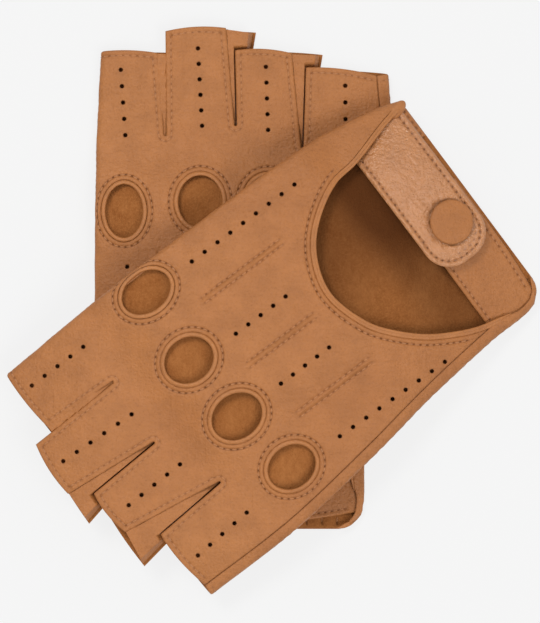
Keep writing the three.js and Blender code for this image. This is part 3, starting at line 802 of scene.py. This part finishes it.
def backRelief(side, cut, flat):
    # height of the outer face over the plain dome, and the painted shade at its cut edges, stitch
    # furrows, tucks, punched holes and needle holes
    seed = waveSeeds[side]
    d = {kind: cut.away(kind, flat)
         for kind in ("knuckle", "opening", "slot", "tip", "seam", "punch", "wrist")}
    lift = broadWave(side, flat) + 0.13 * undulation(flat, 5, seed + 9)
    pucker = undulation(flat, 1.5, seed + 3) + 0.6 * undulation(flat, 0.8, seed + 5)
    dark = np.zeros(len(flat))
    for kind in ("knuckle", "opening"):
        e = d[kind]
        plain = 1.0
        if kind == "opening":
            plain = 1 - smooth((flat[:, 0] - 28) / 4) * smooth((-47 - flat[:, 1]) / 6)
        lift += plain * (rolled(e, 0.24, 0.4) + 0.13 * hump(e, 0.75, 0.4)
                         + furrow(e, 1.6, 0.22, 0.36) + 0.05 * hump(e, 2.6, 0.6)
                         + 0.13 * pucker * hump(e, 1.3, 1.3))
        # painted shade in the gap under the facing's bead and in the stitch furrow
        dark += plain * (0.3 * hump(e, 0, 0.2) + 0.14 * hump(e, 1.6, 0.28))
    for kind in ("slot", "tip"):
        e = d[kind]
        lift += rolled(e, 0.36, 0.6) + furrow(e, 1.7, 0.13, 0.4)
        lift += 0.11 * pucker * hump(e, 1.2, 1.2)
        # painted shade at the cut edge and in the stitch furrow
        dark += 0.08 * hump(e, 1.7, 0.3) + 0.15 * hump(e, 0, 0.15)
    lift += rolled(d["seam"], 0.3, 0.5) + rolled(d["wrist"], 0.3, 0.5) + rolled(d["punch"], 0.16, 0.4)
    # painted shade in the seam's gap and inside the punched holes
    dark += 0.45 * hump(d["seam"], 0, 0.2) + 0.7 * hump(d["punch"], 0, 0.12)
    for line in cut.tucks:
        along = np.clip((flat[:, 1] - line[-1, 1] + 1.2) / 2.5, 0, 1) * np.clip(
            (line[0, 1] + 1.2 - flat[:, 1]) / 2.5, 0, 1)
        across = flat[:, 0] - line[0, 0]
        lift += smooth(along) * (0.5 * hump(across, 0, 0.55)
                                 + furrow(np.abs(across), 1.0, 0.22, 0.3))
        # painted shade in the tucks' furrows
        dark += smooth(along) * 0.3 * hump(np.abs(across), 1.0, 0.22)
    depth, mark = cut.needleMarks(flat)
    lift -= depth
    # painted shade in the needle holes
    dark += mark
    return lift, np.clip(dark, 0, 1), d


def addStitch(bm, at, along, up):
    # one stitch, a bead that lies along its row
    x, z = Vector(along).normalized(), Vector(up).normalized()
    y = z.cross(x).normalized()
    turn = Matrix((x, y, x.cross(y))).transposed().to_4x4()
    size = Matrix.Diagonal([stitchSize[k] * mm for k in ("long", "wide", "high")] + [1])
    bmesh.ops.create_uvsphere(bm, u_segments=6, v_segments=5, radius=1,
                              matrix=Matrix.Translation(Vector(at)) @ turn @ size
                              @ Matrix.Rotation(math.pi / 2, 4, "Y"))


def threadPieces(name, rows, pointAt, body):
    # small stitches between neighbouring needle holes, lying on pointAt(xy, lift)
    bm = bmesh.new()
    for row in rows:
        gaps = np.hypot(*np.diff(row, axis=0).T)
        ok = (gaps < 1.5 * stitchSize["pitch"]) & (gaps > 0.8)
        a, b = row[:-1][ok], row[1:][ok]
        if not len(a):
            continue
        middle = pointAt((a + b) / 2, 0.0)
        up = pointAt((a + b) / 2, 1.0) - middle
        along = pointAt(b, 0.0) - pointAt(a, 0.0)
        for stitch in zip(middle, along, up):
            addStitch(bm, *stitch)
    made = finishMesh(name, bm, [threadFinish], 80)
    if body:
        belongs(made, body, "thread")
    return made


def backPanel(side):
    cut = backCut(side)
    store = {}

    def shadeAndTone(flat):
        store["lift"], dark, store["d"] = backRelief(side, cut, flat)
        return dark

    def outer(flat):
        return backPoint(side, *flat.T, store["lift"])

    def inner(flat):
        d = np.minimum.reduce([store["d"][k] for k in ("slot", "tip", "punch", "wrist")])
        return backPoint(side, *flat.T, broadWave(side, flat) - hide["leather"] + 0.2 * hump(d, 0, 0.2))

    made = leatherPiece(side + "_back", cut, outer, inner, shadeAndTone, grainSuedeEdge)
    belongs(made, side + "_glove", "glove_leather", side + "_back_panel")
    threads = threadPieces(
        side + "_back_thread", cut.rows,
        lambda xy, lift: backPoint(side, *xy.T, lift - stitchSize["sunk"] + broadWave(side, xy)),
        side + "_glove")
    print(made.name, len(made.data.polygons), "faces,", threads.name, len(threads.data.polygons))


def palmCut(side):
    lie = lies[side]
    cut = Cut(1.7)
    leftX = lambda y: (pinkyEdge[side](y) + hide["fold"] * (1 - math.pi) - 1.88
                       + 1.3 * smooth((-66 - y) / 7))
    rightX = lambda y: thumbEdge(y) - hide["fold"] - 0.24
    crotches = [(x - gussetSize["shift"], y) for x, y in lie["crotches"]]
    ys = np.linspace(wristY + 0.3, lie["palm"][0][0][1], 120)
    fold = resample(np.stack([rightX(ys), ys], -1), 0.8)
    ys = np.linspace(lie["palm"][3][1][1] + 0.35, wristY + 2.4, 120)
    seam = resample(np.stack([leftX(ys), ys], -1), 0.6)
    xs = np.linspace(seam[-1][0], fold[0][0], 200)
    edge = pinkyEdge[side](wristY)
    run = np.clip((edge + hide["fold"] - xs) / hide["fold"], 0, math.pi)
    fromEdge = np.where(run > 0, hide["fold"] * (1 - np.sin(run)), xs - edge)
    fromThumb = thumbEdge(wristY) - xs
    wrist = np.stack([xs, np.maximum(wristLine(fromEdge), wristLine(fromThumb))], -1)
    wrist[0], wrist[-1] = seam[-1], fold[0]
    lines = [("fold", fold)]
    lines += tipsAndCrotches(lie["palm"], crotches, tuple(fold[-1]), tuple(seam[0]), 0.3)
    lines += [("seam", seam), ("wrist", resample(wrist, 0.6))]
    cut.outer = [(kind, line, offsets[kind]) for kind, line in lines]
    cut.holes.append(("thumb", ellipse(*thumbSize["root"], thumbSize["hole"], thumbSize["hole"], 48),
                      offsets["thumb"]))
    walls = cut.walls()
    for kind, line, _ in cut.outer:
        if kind in sewn:
            cut.sew(needleRow(line, sewn[kind][0], walls), sewn[kind][1])
    cut.sew(resample([(28, wristY + 0.85), (40, wristY + 0.85)], stitchSize["pitch"]), 0.8)
    return cut


def palmBow(x, y):
    # the palm bows up a little inside, under the knuckles
    return (hide["palmBow"] * smooth((x + 41) / 14) * smooth((44 - x) / 14)
            * smooth((y + 8) / 16) * smooth((40 - y) / 14))


def palmPanel(side):
    cut = palmCut(side)
    store = {}

    def shadeAndTone(flat):
        d = {kind: cut.away(kind, flat) for kind in ("slot", "tip", "seam", "wrist")}
        depth, mark = cut.needleMarks(flat)
        lift = -0.12 * np.abs(undulation(flat, 21, 5)) - palmBow(*flat.T) - depth
        for kind in ("slot", "tip", "wrist"):
            lift += rolled(d[kind], 0.35, 0.6)
        lift += rolled(d["seam"], 0.3, 0.5)
        store.update(lift=lift, d=d)
        # painted shade in the seam's gap, the needle holes and the stitch furrow by the tips
        return np.clip(0.45 * hump(d["seam"], 0, 0.2) + mark + 0.1 * hump(d["tip"], 1.7, 0.3), 0, 1)

    def outer(flat):
        return palmPoint(side, *flat.T, store["lift"])

    def inner(flat):
        d = np.minimum.reduce([store["d"][k] for k in ("slot", "tip", "wrist")])
        soft = 0.1 * undulation(flat, 12, 2) - palmBow(*flat.T)
        lip = furrow(store["d"]["wrist"], 1, 0.35, 0.7)
        return palmPoint(side, *flat.T, soft + lip - hide["leather"] + 0.2 * hump(d, 0, 0.2))

    def paintedShadeInside(x, y):
        # painted shade on the suede under the wrist opening, darkest towards the thumb side and the
        # wrist, and painted shade in the needle holes near the wrist
        shadeLevel = 0.12 + 0.45 * smooth((x + 14) / 32) + 0.42 * smooth((-40 - y) / 14)
        marks = cut.needleMarks(np.stack([x, y], -1))[1] * (y < -70)
        return np.clip(smooth((-18 - y) / 10) * smooth((y + 78) / 7) * shadeLevel + marks, 0, 0.9)

    made = leatherPiece(side + "_palm", cut, outer, inner, shadeAndTone, grainSuedeEdge, paintedShadeInside)
    belongs(made, side + "_glove", "glove_leather", side + "_palm_panel")
    threadPieces(side + "_palm_thread", cut.rows,
                 lambda xy, lift: palmPoint(side, *xy.T, lift - stitchSize["sunk"]), side + "_glove")
    print(made.name, len(made.data.polygons), "faces")


def fourchette(side, i):
    # a gusset: down one finger, round the crotch and up the next
    lie, size = lies[side], gussetSize
    inset, foldShare, half = hide["leather"] + size["inset"], size["foldShare"], hide["crotch"]

    def path(tips, crotch, t):
        a, b, c = tips[i][1], tips[i + 1][0], crotch
        share = (1 - foldShare) / 2
        u, w = t / share, (t - 1 + share) / share
        turn = np.pi * np.clip((t - share) / foldShare, 0, 1)
        x = np.where(t < share, a[0] + (c[0] + half - a[0]) * u + inset,
                     np.where(t > 1 - share, c[0] - half + (b[0] - c[0] + half) * w - inset,
                              c[0] + (half + inset) * np.cos(turn)))
        y = np.where(t < share, a[1] - 0.3 + (c[1] - a[1] + 0.3) * u,
                     np.where(t > 1 - share, c[1] + (b[1] - 0.3 - c[1]) * w,
                              c[1] - inset * np.sin(turn)))
        return x, y

    (ownX, ownY), (nextX, nextY) = lie["back"][i][1], lie["back"][i + 1][0]
    crotchX, crotchY = lie["crotches"][i]

    def point(s, t):
        topX, topY = path(lie["back"], lie["crotches"][i], t)
        footX, footY = path(lie["palm"], (crotchX - size["shift"], crotchY), t)
        x, y = topX + (footX - topX) * s, topY + (footY - topY) * s
        high = backHeight(side, x, y) - hide["leather"] - size["sunk"] - hide["gusset"] / 2
        low = hide["leather"] + size["floor"] + hide["gusset"] / 2
        # the strip beside a finger lies nearly flush with its back, up to the next finger
        own = crotchX + half + (ownX - crotchX - half) * np.clip((y - crotchY) / (ownY - crotchY), 0, 1)
        over = crotchX - half + (nextX - crotchX + half) * np.clip(
            (y - crotchY) / (nextY - crotchY), 0, 1)
        flush = backHeight(side, x, y) - size["flush"] - hide["gusset"] / 2
        shown = np.maximum(smooth((x - over + 0.05) / 0.55), smooth((y - nextY + 0.2) / 1.8))
        up = high + (flush - high) * smooth((own - x + 0.25) / 0.3) * smooth((y - crotchY - 0.5) / 9)
        under = low + np.maximum(high - 0.8 - low, 0) * (1 - s)
        first = under + (up - under) * shown * smooth((1 - s) / 0.15)
        after = high - (high - low) * s ** 2.5
        h = first + (after - first) * smooth((t - 0.4) / 0.2)
        return place(side, x, y, h + 0.06 * np.sin(s * 9 + t * 25) * smooth(s * 4))

    name = f"{side}_fourchette_{fingers[i]}_{fingers[i + 1]}"
    made = mapped(name + "_cut", *size["cells"], point, gloveLeather, wall=hide["gusset"])
    belongs(made, side + "_glove", "glove_leather", name)


# profiles are (distance from the hole's or band's inner edge, height over the leather)
facingSize = {
    "profile": [(1.4, -0.24), (1.12, 0.0), (0.66, 0.14), (0.18, -0.04), (0, -0.42), (-0.02, -1.2),
                (0.2, -1.75), (1.2, -2.0), (2.6, -2.1), (2.6, -1.75), (1.3, -1.55), (1.15, -1.0),
                (1.4, -0.24)],
    "neck": 1.25, "beadFoot": -0.42,
    "flange": [0.45, 1, 1, 1],  # the index finger's hole lies near the fold, so its flange is narrow
}


def rowAt(rows, at):
    # the two columns of rows at fractional row numbers
    return [np.interp(at, np.arange(len(rows)), rows[:, k]) for k in (0, 1)]


def knuckleFacing(side, i):
    # the turned facing of a knuckle hole: a rolled bead, its inner wall, and a flange below
    x, y, rx, ry = lies[side]["knuckles"][i]
    profile = curve(facingSize["profile"], 40)
    neck, foot = facingSize["neck"], facingSize["beadFoot"]

    def point(u, v):
        out, lift = rowAt(profile, v * (len(profile) - 1))
        out = np.where(out > neck, neck + (out - neck) * facingSize["flange"][i], out)
        a = 2 * np.pi * u
        pucker = 1 + 0.07 * np.sin(a * 31 + i + 2 * np.sin(a * 3)) + 0.06 * np.sin(a * 17 + i)
        top = np.clip(lift - foot, 0, 1) * pucker + foot
        lift = np.where(lift > foot, top, lift)
        return backPoint(side, x + (rx + out) * np.cos(a), y + (ry + out) * np.sin(a), lift)

    name = f"{side}_knuckle_facing_{fingers[i]}"
    made = mapped(name + "_rim", 112, len(profile) - 1, point, edgeLeather, sharp=70)
    belongs(made, side + "_glove", "edge_leather", name)


bandSize = {
    "profile": [(1.9, -0.26), (1.68, -0.04), (1.36, 0.0), (1.06, -0.1), (0.78, 0.06), (0.4, 0.12),
                (0.08, -0.1), (0, -0.5), (0.1, -0.85), (0.6, -1.1), (1.8, -1.15), (1.95, -0.85),
                (1.9, -0.26)],
    "step": 0.5, "pinkyEnd": -69.5,
    "end": {"at": (38.7, -78.9, 2.75), "long": 3.4, "wide": 1.9, "high": 1.35, "lean": (0.25, 0.97)},
}


def cuffBinding(side):
    # the folded band that finishes the wrist opening: a bead and a lower second fold
    edge = curve(wristOpening, 400)
    edge = edge[edge[:, 1] > np.where(edge[:, 0] > 0, wristY + 0.6, bandSize["pinkyEnd"])]
    edge = resample(edge, bandSize["step"])
    out = leftOf(edge, 1.0) - edge  # towards the leather
    if (out[len(out) // 2][1]) < 0:
        out = -out
    profile = curve(bandSize["profile"], 36)
    last = len(edge) - 1

    def point(u, v):
        (px, py), (ox, oy) = rowAt(edge, u * last), rowAt(out, u * last)
        across, lift = rowAt(profile, v * (len(profile) - 1))
        # the band thins out to both ends, by the distance from each, and swells by the horn
        horn, far = u * last * bandSize["step"], (1 - u) * last * bandSize["step"]
        close = np.sqrt(np.clip(horn / 1.2, 0, 1)) * np.clip(far / 5, 0, 1) ** 0.7
        close = close * (1 + 0.5 * hump(horn, 1.6, 1.6))
        lift = -0.5 + (lift + 0.5) * close
        across = 0.9 + (across - 0.9) * (0.15 + 0.85 * close)
        x, y = px + ox * across, py + oy * across
        limit = pinkyEdge[side](y) + 0.9
        return backPoint(side, np.maximum(x, limit), y, lift)

    made = mapped(side + "_cuff_band", last, len(profile) - 1, point, edgeLeather, sharp=70)
    belongs(made, side + "_glove", "edge_leather", side + "_cuff_binding")

    def nub(u, v):
        # the turned-in end of the band at the wrist corner
        size = bandSize["end"]
        (x, y, h), (c, s) = size["at"], size["lean"]
        a, b = 2 * np.pi * u, np.pi * v
        run, across = size["long"] * np.cos(b), size["wide"] * np.sin(b) * np.cos(a)
        return place(side, x + c * run + s * across, y - s * run + c * across,
                     h + size["high"] * np.sin(b) * np.sin(a))

    belongs(mapped(side + "_band_end", 28, 20, nub, edgeLeather, sharp=80),
            side + "_glove", "edge_leather")


def flatPiece(side, name, cut, point, thick, relief, materials):
    # a folded double strip: both faces round down to its edges
    store = {}

    def shadeAndTone(flat):
        store["lift"], store["dark"] = relief(flat)
        return store["dark"]

    def outer(flat):
        return point(side, *flat.T, store["lift"])

    def inner(flat):
        edge = Trail(*cut.loops()).away(flat)
        return point(side, *flat.T, -thick - rolled(edge, 0.45, 0.55))

    made = leatherPiece(side + name, cut, outer, inner, shadeAndTone, materials)
    print(made.name, len(made.data.polygons), "faces")
    return made


def strap(side):
    low, high, end, r = (strapSize[k] for k in ("low", "high", "end", "corner"))
    cut = Cut(0.95)
    ys = np.linspace(low, high, 30)
    root = np.stack([thumbEdge(ys) - strapSize["inset"], ys], -1)
    a = np.linspace(math.pi / 2, math.pi, 14)
    corner0 = np.stack([end + r + r * np.cos(a), high - r + r * np.sin(a)], -1)
    corner1 = np.stack([corner0[::-1, 0], low + high - corner0[::-1, 1]], -1)
    sewn = np.vstack([root[-1:], corner0, corner1, root[:1]])
    rows = (0.1, 0.25, 0.5, 0.8, 1.1, 1.4, 2.2, 2.6, 3.1)
    cut.outer = [("root", resample(root, 0.6), (0.3,)), ("edge", resample(sewn, 0.5), rows)]
    cut.sew(needleRow(cut.outer[1][1], strapSize["sewn"], cut.walls()), 0.95)
    second = needleRow(cut.outer[1][1], strapSize["sewnAgain"], cut.walls())
    cut.sew(second[(second[:, 0] < -1) & (second[:, 1] < -67)], 0.8)
    centre = np.array([[snapSize["x"], snapSize["y"]]])
    a = np.linspace(0, 2 * math.pi, 49)[:-1]
    cut.extra = [centre + d * np.stack([np.cos(a), np.sin(a)], -1)
                 for d in (5.6, 6.4, 6.8, 7.2, 7.7, 8.3)]

    def relief(flat):
        e = cut.away("edge", flat)
        depth, mark = cut.needleMarks(flat)
        fromCap = np.hypot(*(flat - centre).T)
        lift = rolled(e, 0.5, 0.7) + 0.1 * hump(e, 0.9, 0.4) + furrow(e, 1.8, 0.26, 0.4)
        puff = smooth((e - 1.8) / 4)
        lift += (0.3 * puff + 0.16 * undulation(flat, 8, 4) * puff
                 + 0.07 * undulation(flat, 2.6, 6) * puff)
        lift += -0.45 * smooth(1 - (fromCap - 6.2) / 2.2) + 0.2 * hump(fromCap, 8.8, 1.1) * puff
        # painted shade in the needle holes, the stitch furrow and the gap round the snap cap
        dark = mark + 0.14 * hump(e, 1.8, 0.3) + 0.35 * hump(fromCap, 6.9, 0.35)
        return lift - depth, np.clip(dark, 0, 1)

    made = flatPiece(side, "_wrist_strap", cut, strapPoint, strapSize["thick"], relief,
                     [strapLeather, gloveLeather, edgeLeather])
    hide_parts(side + "_strap", side + "_strap_root")
    threads = threadPieces(side + "_strap_thread", cut.rows,
                           lambda xy, lift: strapPoint(side, *xy.T, lift - strapSize["sunk"]), None)
    middle = (low + high) / 2
    ends = [tuple(place(side, strapSize[k], middle, strapHeight(strapSize[k])).tolist())
            for k in ("bendFrom", "bendTo")]
    for piece in (made, threads):
        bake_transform(piece)


def tab(side):
    low, high = tabSize["low"][side], tabSize["high"]
    cut = Cut(1.1)
    ys = np.linspace(high, low, 30)
    ys = ys + (2.4 if side == "right" else 1.0) * smooth((ys - high) / (low - high)) ** 2
    foot = np.stack([pinkyEdge[side](ys) + 1.7, ys], -1)
    edgeLow = resample(curve([foot[-1], (-17, low), (0, low), (tabSize["end"], low)]), 0.5)
    tip = resample([(tabSize["end"], low), (tabSize["end"], high)], 0.6)
    edgeHigh = resample([(tabSize["end"], high), foot[0]], 0.5)
    rows = (0.1, 0.25, 0.5, 0.8, 1.2, 2.0, 2.5)
    cut.outer = [("foot", resample(foot, 0.6), (0.3,)), ("edge", edgeLow, rows), ("edge", tip, rows),
                 ("edge", edgeHigh, rows)]
    walls = cut.walls()
    for line in (edgeLow, tip, edgeHigh):
        row = needleRow(line, tabSize["sewn"], walls)
        cut.sew(row[row[:, 0] > pinkyEdge[side](row[:, 1]) + 5], 0.8)

    def relief(flat):
        e = cut.away("edge", flat)
        depth, mark = cut.needleMarks(flat)
        lift = rolled(e, 0.45, 0.6) + furrow(e, 1.6, 0.16, 0.4) + 0.08 * undulation(flat, 11, 8)
        # painted shade in the needle holes and the stitch furrow
        return lift - depth, np.clip(mark + 0.1 * hump(e, 1.6, 0.3), 0, 1)

    made = flatPiece(side, "_wrist_tab", cut, tabPoint, tabSize["thick"], relief,
                     [gloveLeather, suedeLining, edgeLeather])
    belongs(made, side + "_glove", "glove_leather", side + "_tab")
    threadPieces(side + "_tab_thread", cut.rows,
                 lambda xy, lift: tabPoint(side, *xy.T, lift - tabSize["sunk"]), side + "_glove")


def snapPiece(name, side, profile, body, slotName, material, node, segments=56):
    # a turned piece about the snap's axis; heights are over the strap's underside
    x, y = snapSize["x"], snapSize["y"]
    h = strapHeight(x)
    at = Vector(place(side, x, y, h))
    right = (Vector(place(side, x + 1, y, h)) - at) * laid[side][0]
    up = right.cross(Vector(place(side, x, y + 1, h)) - at).normalized()
    turn = Vector((0, 0, 1)).rotation_difference(up).to_matrix().to_4x4()
    bm = bmesh.new()
    line = [bm.verts.new((r * mm, 0, z * mm)) for r, z in profile]
    edges = [bm.edges.new(pair) for pair in zip(line, line[1:])]
    bmesh.ops.spin(bm, geom=line + edges, cent=(0, 0, 0), axis=(0, 0, 1), dvec=(0, 0, 0),
                   angle=2 * math.pi, steps=segments, use_merge=True)
    bmesh.ops.remove_doubles(bm, verts=bm.verts[:], dist=1e-6)
    bmesh.ops.recalc_face_normals(bm, faces=bm.faces[:])
    bm.transform(Matrix.Translation(at) @ turn)
    layer = bm.verts.layers.float.new("shadeAndTone")
    # 0.1 darkens the leather-covered button's own tone a little; the brass finish does not read it
    for v in bm.verts:
        v[layer] = 0.1
    belongs(finishMesh(name, bm, [material], 38), body, slotName, node)


def snap(side):
    strapBody, gloveBody = side + "_strap", side + "_glove"
    foot = strapSize["thick"] + 0.2
    r = snapSize["cap"]
    top = foot + snapSize["height"]
    dome = [(r * math.cos(a), foot + 0.75 + 0.75 * math.sin(a)) for a in (-0.9, -0.45, 0)]
    dome += [(r - 0.06, foot + 1.0), (r - 0.22, foot + 1.22), (r - 0.5, foot + 1.38),
             (r - 0.95, foot + 1.47), (r - 1.6, foot + 1.53), (r * 0.55, top - 0.14),
             (r * 0.3, top - 0.05), (0, top)]
    inner = r - 0.6
    snapPiece(side + "_snap_button", side,
              [(0, foot + 0.7), (inner, foot + 0.7), (inner, foot + 0.02), (r - 0.25, foot - 0.02),
               *dome],
              strapBody, "glove_leather", gloveLeather, side + "_snap_cap_cover", 72)
    snapPiece(side + "_snap_post", side,
              [(0, 0.05), (1.45, 0.05), (1.45, foot), (5.8, foot), (5.9, foot + 0.1),
               (5.9, foot + 0.3), (5.8, foot + 0.4), (0, foot + 0.4)],
              strapBody, "snap_brass", brassFinish, side + "_snap_cap")
    snapPiece(side + "_snap_spring", side,
              [(2.05, -1.15), (4.3, -1.15), (4.5, -1.05), (4.5, -0.85), (4.35, -0.75), (3.6, -0.62),
               (3.05, -0.25), (2.2, -0.25), (2.05, -0.35), (2.05, -1.15)],
              strapBody, "snap_brass", brassFinish, side + "_snap_socket")
    snapPiece(side + "_snap_ball", side,
              [(0, -1.75), (4.05, -1.75), (4.2, -1.65), (4.2, -1.5), (4.0, -1.42), (1.5, -1.4),
               (1.42, -1.2), (1.66, -0.95), (1.7, -0.75), (1.5, -0.45), (1.2, -0.36), (0, -0.35)],
              gloveBody, "snap_brass", brassFinish, side + "_snap_stud")
    tabMiddle = tabSize["level"] + tabSize["thick"] / 2 - strapSize["level"]
    low, barrel = tabMiddle - 0.6 - 0.2, tabMiddle + 0.6
    snapPiece(side + "_snap_eyelet", side,
              [(0, low - 0.4), (3.85, low - 0.4), (4.0, low - 0.3), (4.0, low - 0.1), (3.9, low),
               (1.25, low), (1.25, barrel), (0, barrel)],
              gloveBody, "snap_brass", brassFinish, side + "_stud_eyelet")


def thumb(side):
    # a flat sleeve, open at the tip, tucked under the palm
    size = thumbSize
    reach, depth = size["rootWidth"] / 2, size["length"]
    turn = math.radians(size["tucked"])
    hemRun = depth - 1.8  # where the open tip is stitched

    def point(u, v):
        run = -reach + (depth + reach) * u
        wide = np.where(run < 0, np.sqrt(np.clip(reach**2 - run**2, 0, None)),
                        reach + (size["tipWidth"] / 2 - reach) * np.clip(run, 0, None) / depth)
        a = 2 * np.pi * v
        c, s = np.cos(a), np.sin(a)
        tall = size["height"] / 2 * smooth((run + reach) / 2.4) ** 0.5
        flat = np.sign(s) * np.abs(s) ** 0.45
        across = wide * np.sign(c) * np.abs(c) ** 0.75
        h = size["floor"] + size["height"] / 2 + tall * flat
        h = h - 0.12 * hump(run, hemRun, 0.4) * np.sign(s)
        return sleeve(run, across, h)

    def sleeve(run, across, h):
        x = size["root"][0] + run * math.cos(turn) - across * math.sin(turn)
        y = size["root"][1] + run * math.sin(turn) + across * math.cos(turn)
        return place(side, x, y, h, 0)

    centre = Vector(place(side, *size["root"], 0, 0))

    def overHole(face):
        # the hole into the palm goes through the upper wall only
        return face.normal.z > 0.3 and all(
            (v.co.xy - centre.xy).length / mm < size["hole"] for v in face.verts)

    made = mapped(side + "_thumb_sleeve", 72, 64, point, gloveLeather, wall=size["wall"], sharp=60,
                  merge=2e-5, openAt=overHole)
    belongs(made, side + "_thumb", "glove_leather", side + "_thumb")
    bm = bmesh.new()
    for face in (-1, 1):
        h = size["floor"] + size["height"] / 2 + face * (size["height"] / 2 - 0.06)
        spots = sleeve(hemRun, np.linspace(-0.8, 0.8, 9) * size["tipWidth"] / 2, h)
        for a, b in zip(spots, spots[1:]):
            addStitch(bm, (a + b) / 2, b - a, (0, 0, 1))
    belongs(finishMesh(side + "_thumb_thread", bm, [threadFinish], 80), side + "_thumb", "thread")


hemSize = {
    "x": (-33, 26.5), "y": wristY + 0.5, "wide": 8.8, "wall": 0.45, "rise": 1.15, "gather": 0.45,
    "pitch": 4.75,  # from one gather to the next
}
lipSize = {"y": wristY + 0.1, "wide": 2.6, "high": 0.9, "wall": 0.3, "stitch": 2.1}
elasticSize = {"x": -24.5, "y": wristY + 2.3, "wide": 4, "wall": 0.4, "rib": 0.9}


def wristGather(side):
    # the hem's inner strip, puckered by the elastic under it
    (lowX, highX), lowY, pitch = hemSize["x"], hemSize["y"], hemSize["pitch"]
    floor = hide["leather"] + hemSize["wall"]

    def fullness(x):
        # the hem flattens out into the little-finger corner
        return smooth((x + 31) / 6.5)

    def hem(u, v):
        x, y = lowX + (highX - lowX) * u, lowY + hemSize["wide"] * v
        pucker = np.abs(np.sin(np.pi * (x - lowX) / pitch)) ** 0.6
        x = np.maximum(x, pinkyEdge[side](y) + 1.3)
        h = floor + (hemSize["rise"] + hemSize["gather"] * (pucker - 0.75) * hump(v, 0.45, 0.42)
                     ) * fullness(x)
        return place(side, x, y, h - 0.3 * hump(np.minimum(v, 1 - v), 0, 0.05))

    def pits(u, v):
        # painted shade in the pits where the gathers are tacked down
        x = (highX - lowX) * u
        return 0.9 * np.exp(-((x - pitch * np.round(x / pitch)) / 0.3) ** 2 - ((v - 0.2) / 0.13) ** 4)

    made = mapped(side + "_hem_strip", 260, 18, hem, suedeLining, wall=hemSize["wall"], dark=pits)
    belongs(made, side + "_glove", "suede_lining", side + "_wrist_hem")

    lipEnd = thumbEdge(wristY) - 1.4

    def lip(u, v):
        # the sewn edge of the palm that shows beyond the strap
        x, y = highX + (lipEnd - highX) * u, lipSize["y"] + lipSize["wide"] * v
        return place(side, x, y, hide["leather"] - 0.1 + lipSize["high"] * np.sin(np.pi * v) ** 0.6
                     * smooth(u * 12) * smooth((1 - u) * 8))

    def lipStitches(u, v):
        # painted shade of a stitch row: dark dashes where needle holes would sit, with no thread or
        # holes modelled
        x = (lipEnd - highX) * u
        return 0.85 * hump(v, 0.36, 0.1) * smooth(0.5 + np.cos(2 * np.pi * x / lipSize["stitch"]))

    made = mapped(side + "_wrist_lip", 90, 16, lip, gloveLeather, wall=lipSize["wall"],
                  dark=lipStitches)
    belongs(made, side + "_glove", "glove_leather")

    def band(u, v):
        x = elasticSize["x"] + (highX - elasticSize["x"]) * u
        y = elasticSize["y"] + elasticSize["wide"] * v
        ribs = 0.04 * np.sin(np.pi * 2 * (x - lowX) / elasticSize["rib"])
        return place(side, x, y, hide["leather"] + 0.3 + 0.45 + ribs)

    made = mapped(side + "_elastic_band", 220, 6, band, elasticFinish, wall=elasticSize["wall"])
    belongs(made, side + "_glove", "elastic", side + "_wrist_elastic")
    rows = [np.array([(x + 0.02, lowY + 1.6), (x, lowY + 3.4)])
            for x in (lowX + k * pitch for k in range(1, int((highX - lowX) / pitch) + 1))]
    threadPieces(side + "_hem_thread", rows, lambda xy, lift: place(
        side, *xy.T, floor + 0.9 * fullness(xy[:, 0]) + lift), side + "_glove")


# Camera, light and floor
viewSize = {"height": 194.6875, "lens": 400, "sensor": 36, "level": 12}
studioSize = {
    "key": ((-1.0, 1.15, 2.6), 1.0, 43, (1, 0.985, 0.96)), "fill": ((1.3, -1.2, 2.4), 1.8, 39),
    "sky": (0.98, 0.99, 1, 1), "skyLevel": 0.62, "floorGlow": 0.81, "floorBase": 0.08,
}
camera = bpy.data.objects.new("camera", bpy.data.cameras.new("camera"))
camera.data.lens = viewSize["lens"]
camera.data.sensor_width = viewSize["sensor"]
camera.data.clip_end = 50
distance = viewSize["height"] * mm * viewSize["lens"] / viewSize["sensor"]
camera.location = (shiftX * mm, shiftY * mm, viewSize["level"] * mm + distance)
bpy.context.scene.collection.objects.link(camera)
bpy.context.scene.camera = camera


def areaLight(name, at, size, power, colour=(1, 1, 1)):
    light = bpy.data.lights.new(name, "AREA")
    light.shape, light.size, light.energy, light.color = "DISK", size, power, colour
    lamp = bpy.data.objects.new(name, light)
    lamp.location = at
    lamp.rotation_euler = (Vector((0, 0, 0.01)) - Vector(at)).to_track_quat("-Z", "Y").to_euler()
    bpy.context.scene.collection.objects.link(lamp)


areaLight("key_light", *studioSize["key"])
areaLight("fill_light", *studioSize["fill"])
world = bpy.data.worlds.new("studio")
bpy.context.scene.world = world
world.use_nodes = True
sky = world.node_tree.nodes["Background"].inputs
sky["Color"].default_value, sky["Strength"].default_value = studioSize["sky"], studioSize["skyLevel"]
bpy.context.scene.view_settings.view_transform = "Standard"

bm = bmesh.new()
bmesh.ops.create_grid(bm, x_segments=1, y_segments=1, size=4)
bmesh.ops.translate(bm, vec=(0, 0, -0.0002), verts=bm.verts[:])
floorPaint = Paint("floor", Roughness=0.9, Specular_IOR_Level=0.0, Emission_Strength=1.0)
for socket, key in (("Emission Color", "floorGlow"), ("Base Color", "floorBase")):
    floorPaint.shader.inputs[socket].default_value = (*[studioSize[key]] * 3, 1)
finishMesh("floor", bm, [floorPaint.material])
print("studio made")

for side in sides:
    backPanel(side)
    palmPanel(side)
    for i in range(3):
        fourchette(side, i)
    for i in range(4):
        knuckleFacing(side, i)
    cuffBinding(side)
    strap(side)
    tab(side)
    snap(side)
    thumb(side)
    wristGather(side)
    print(side, "glove made")
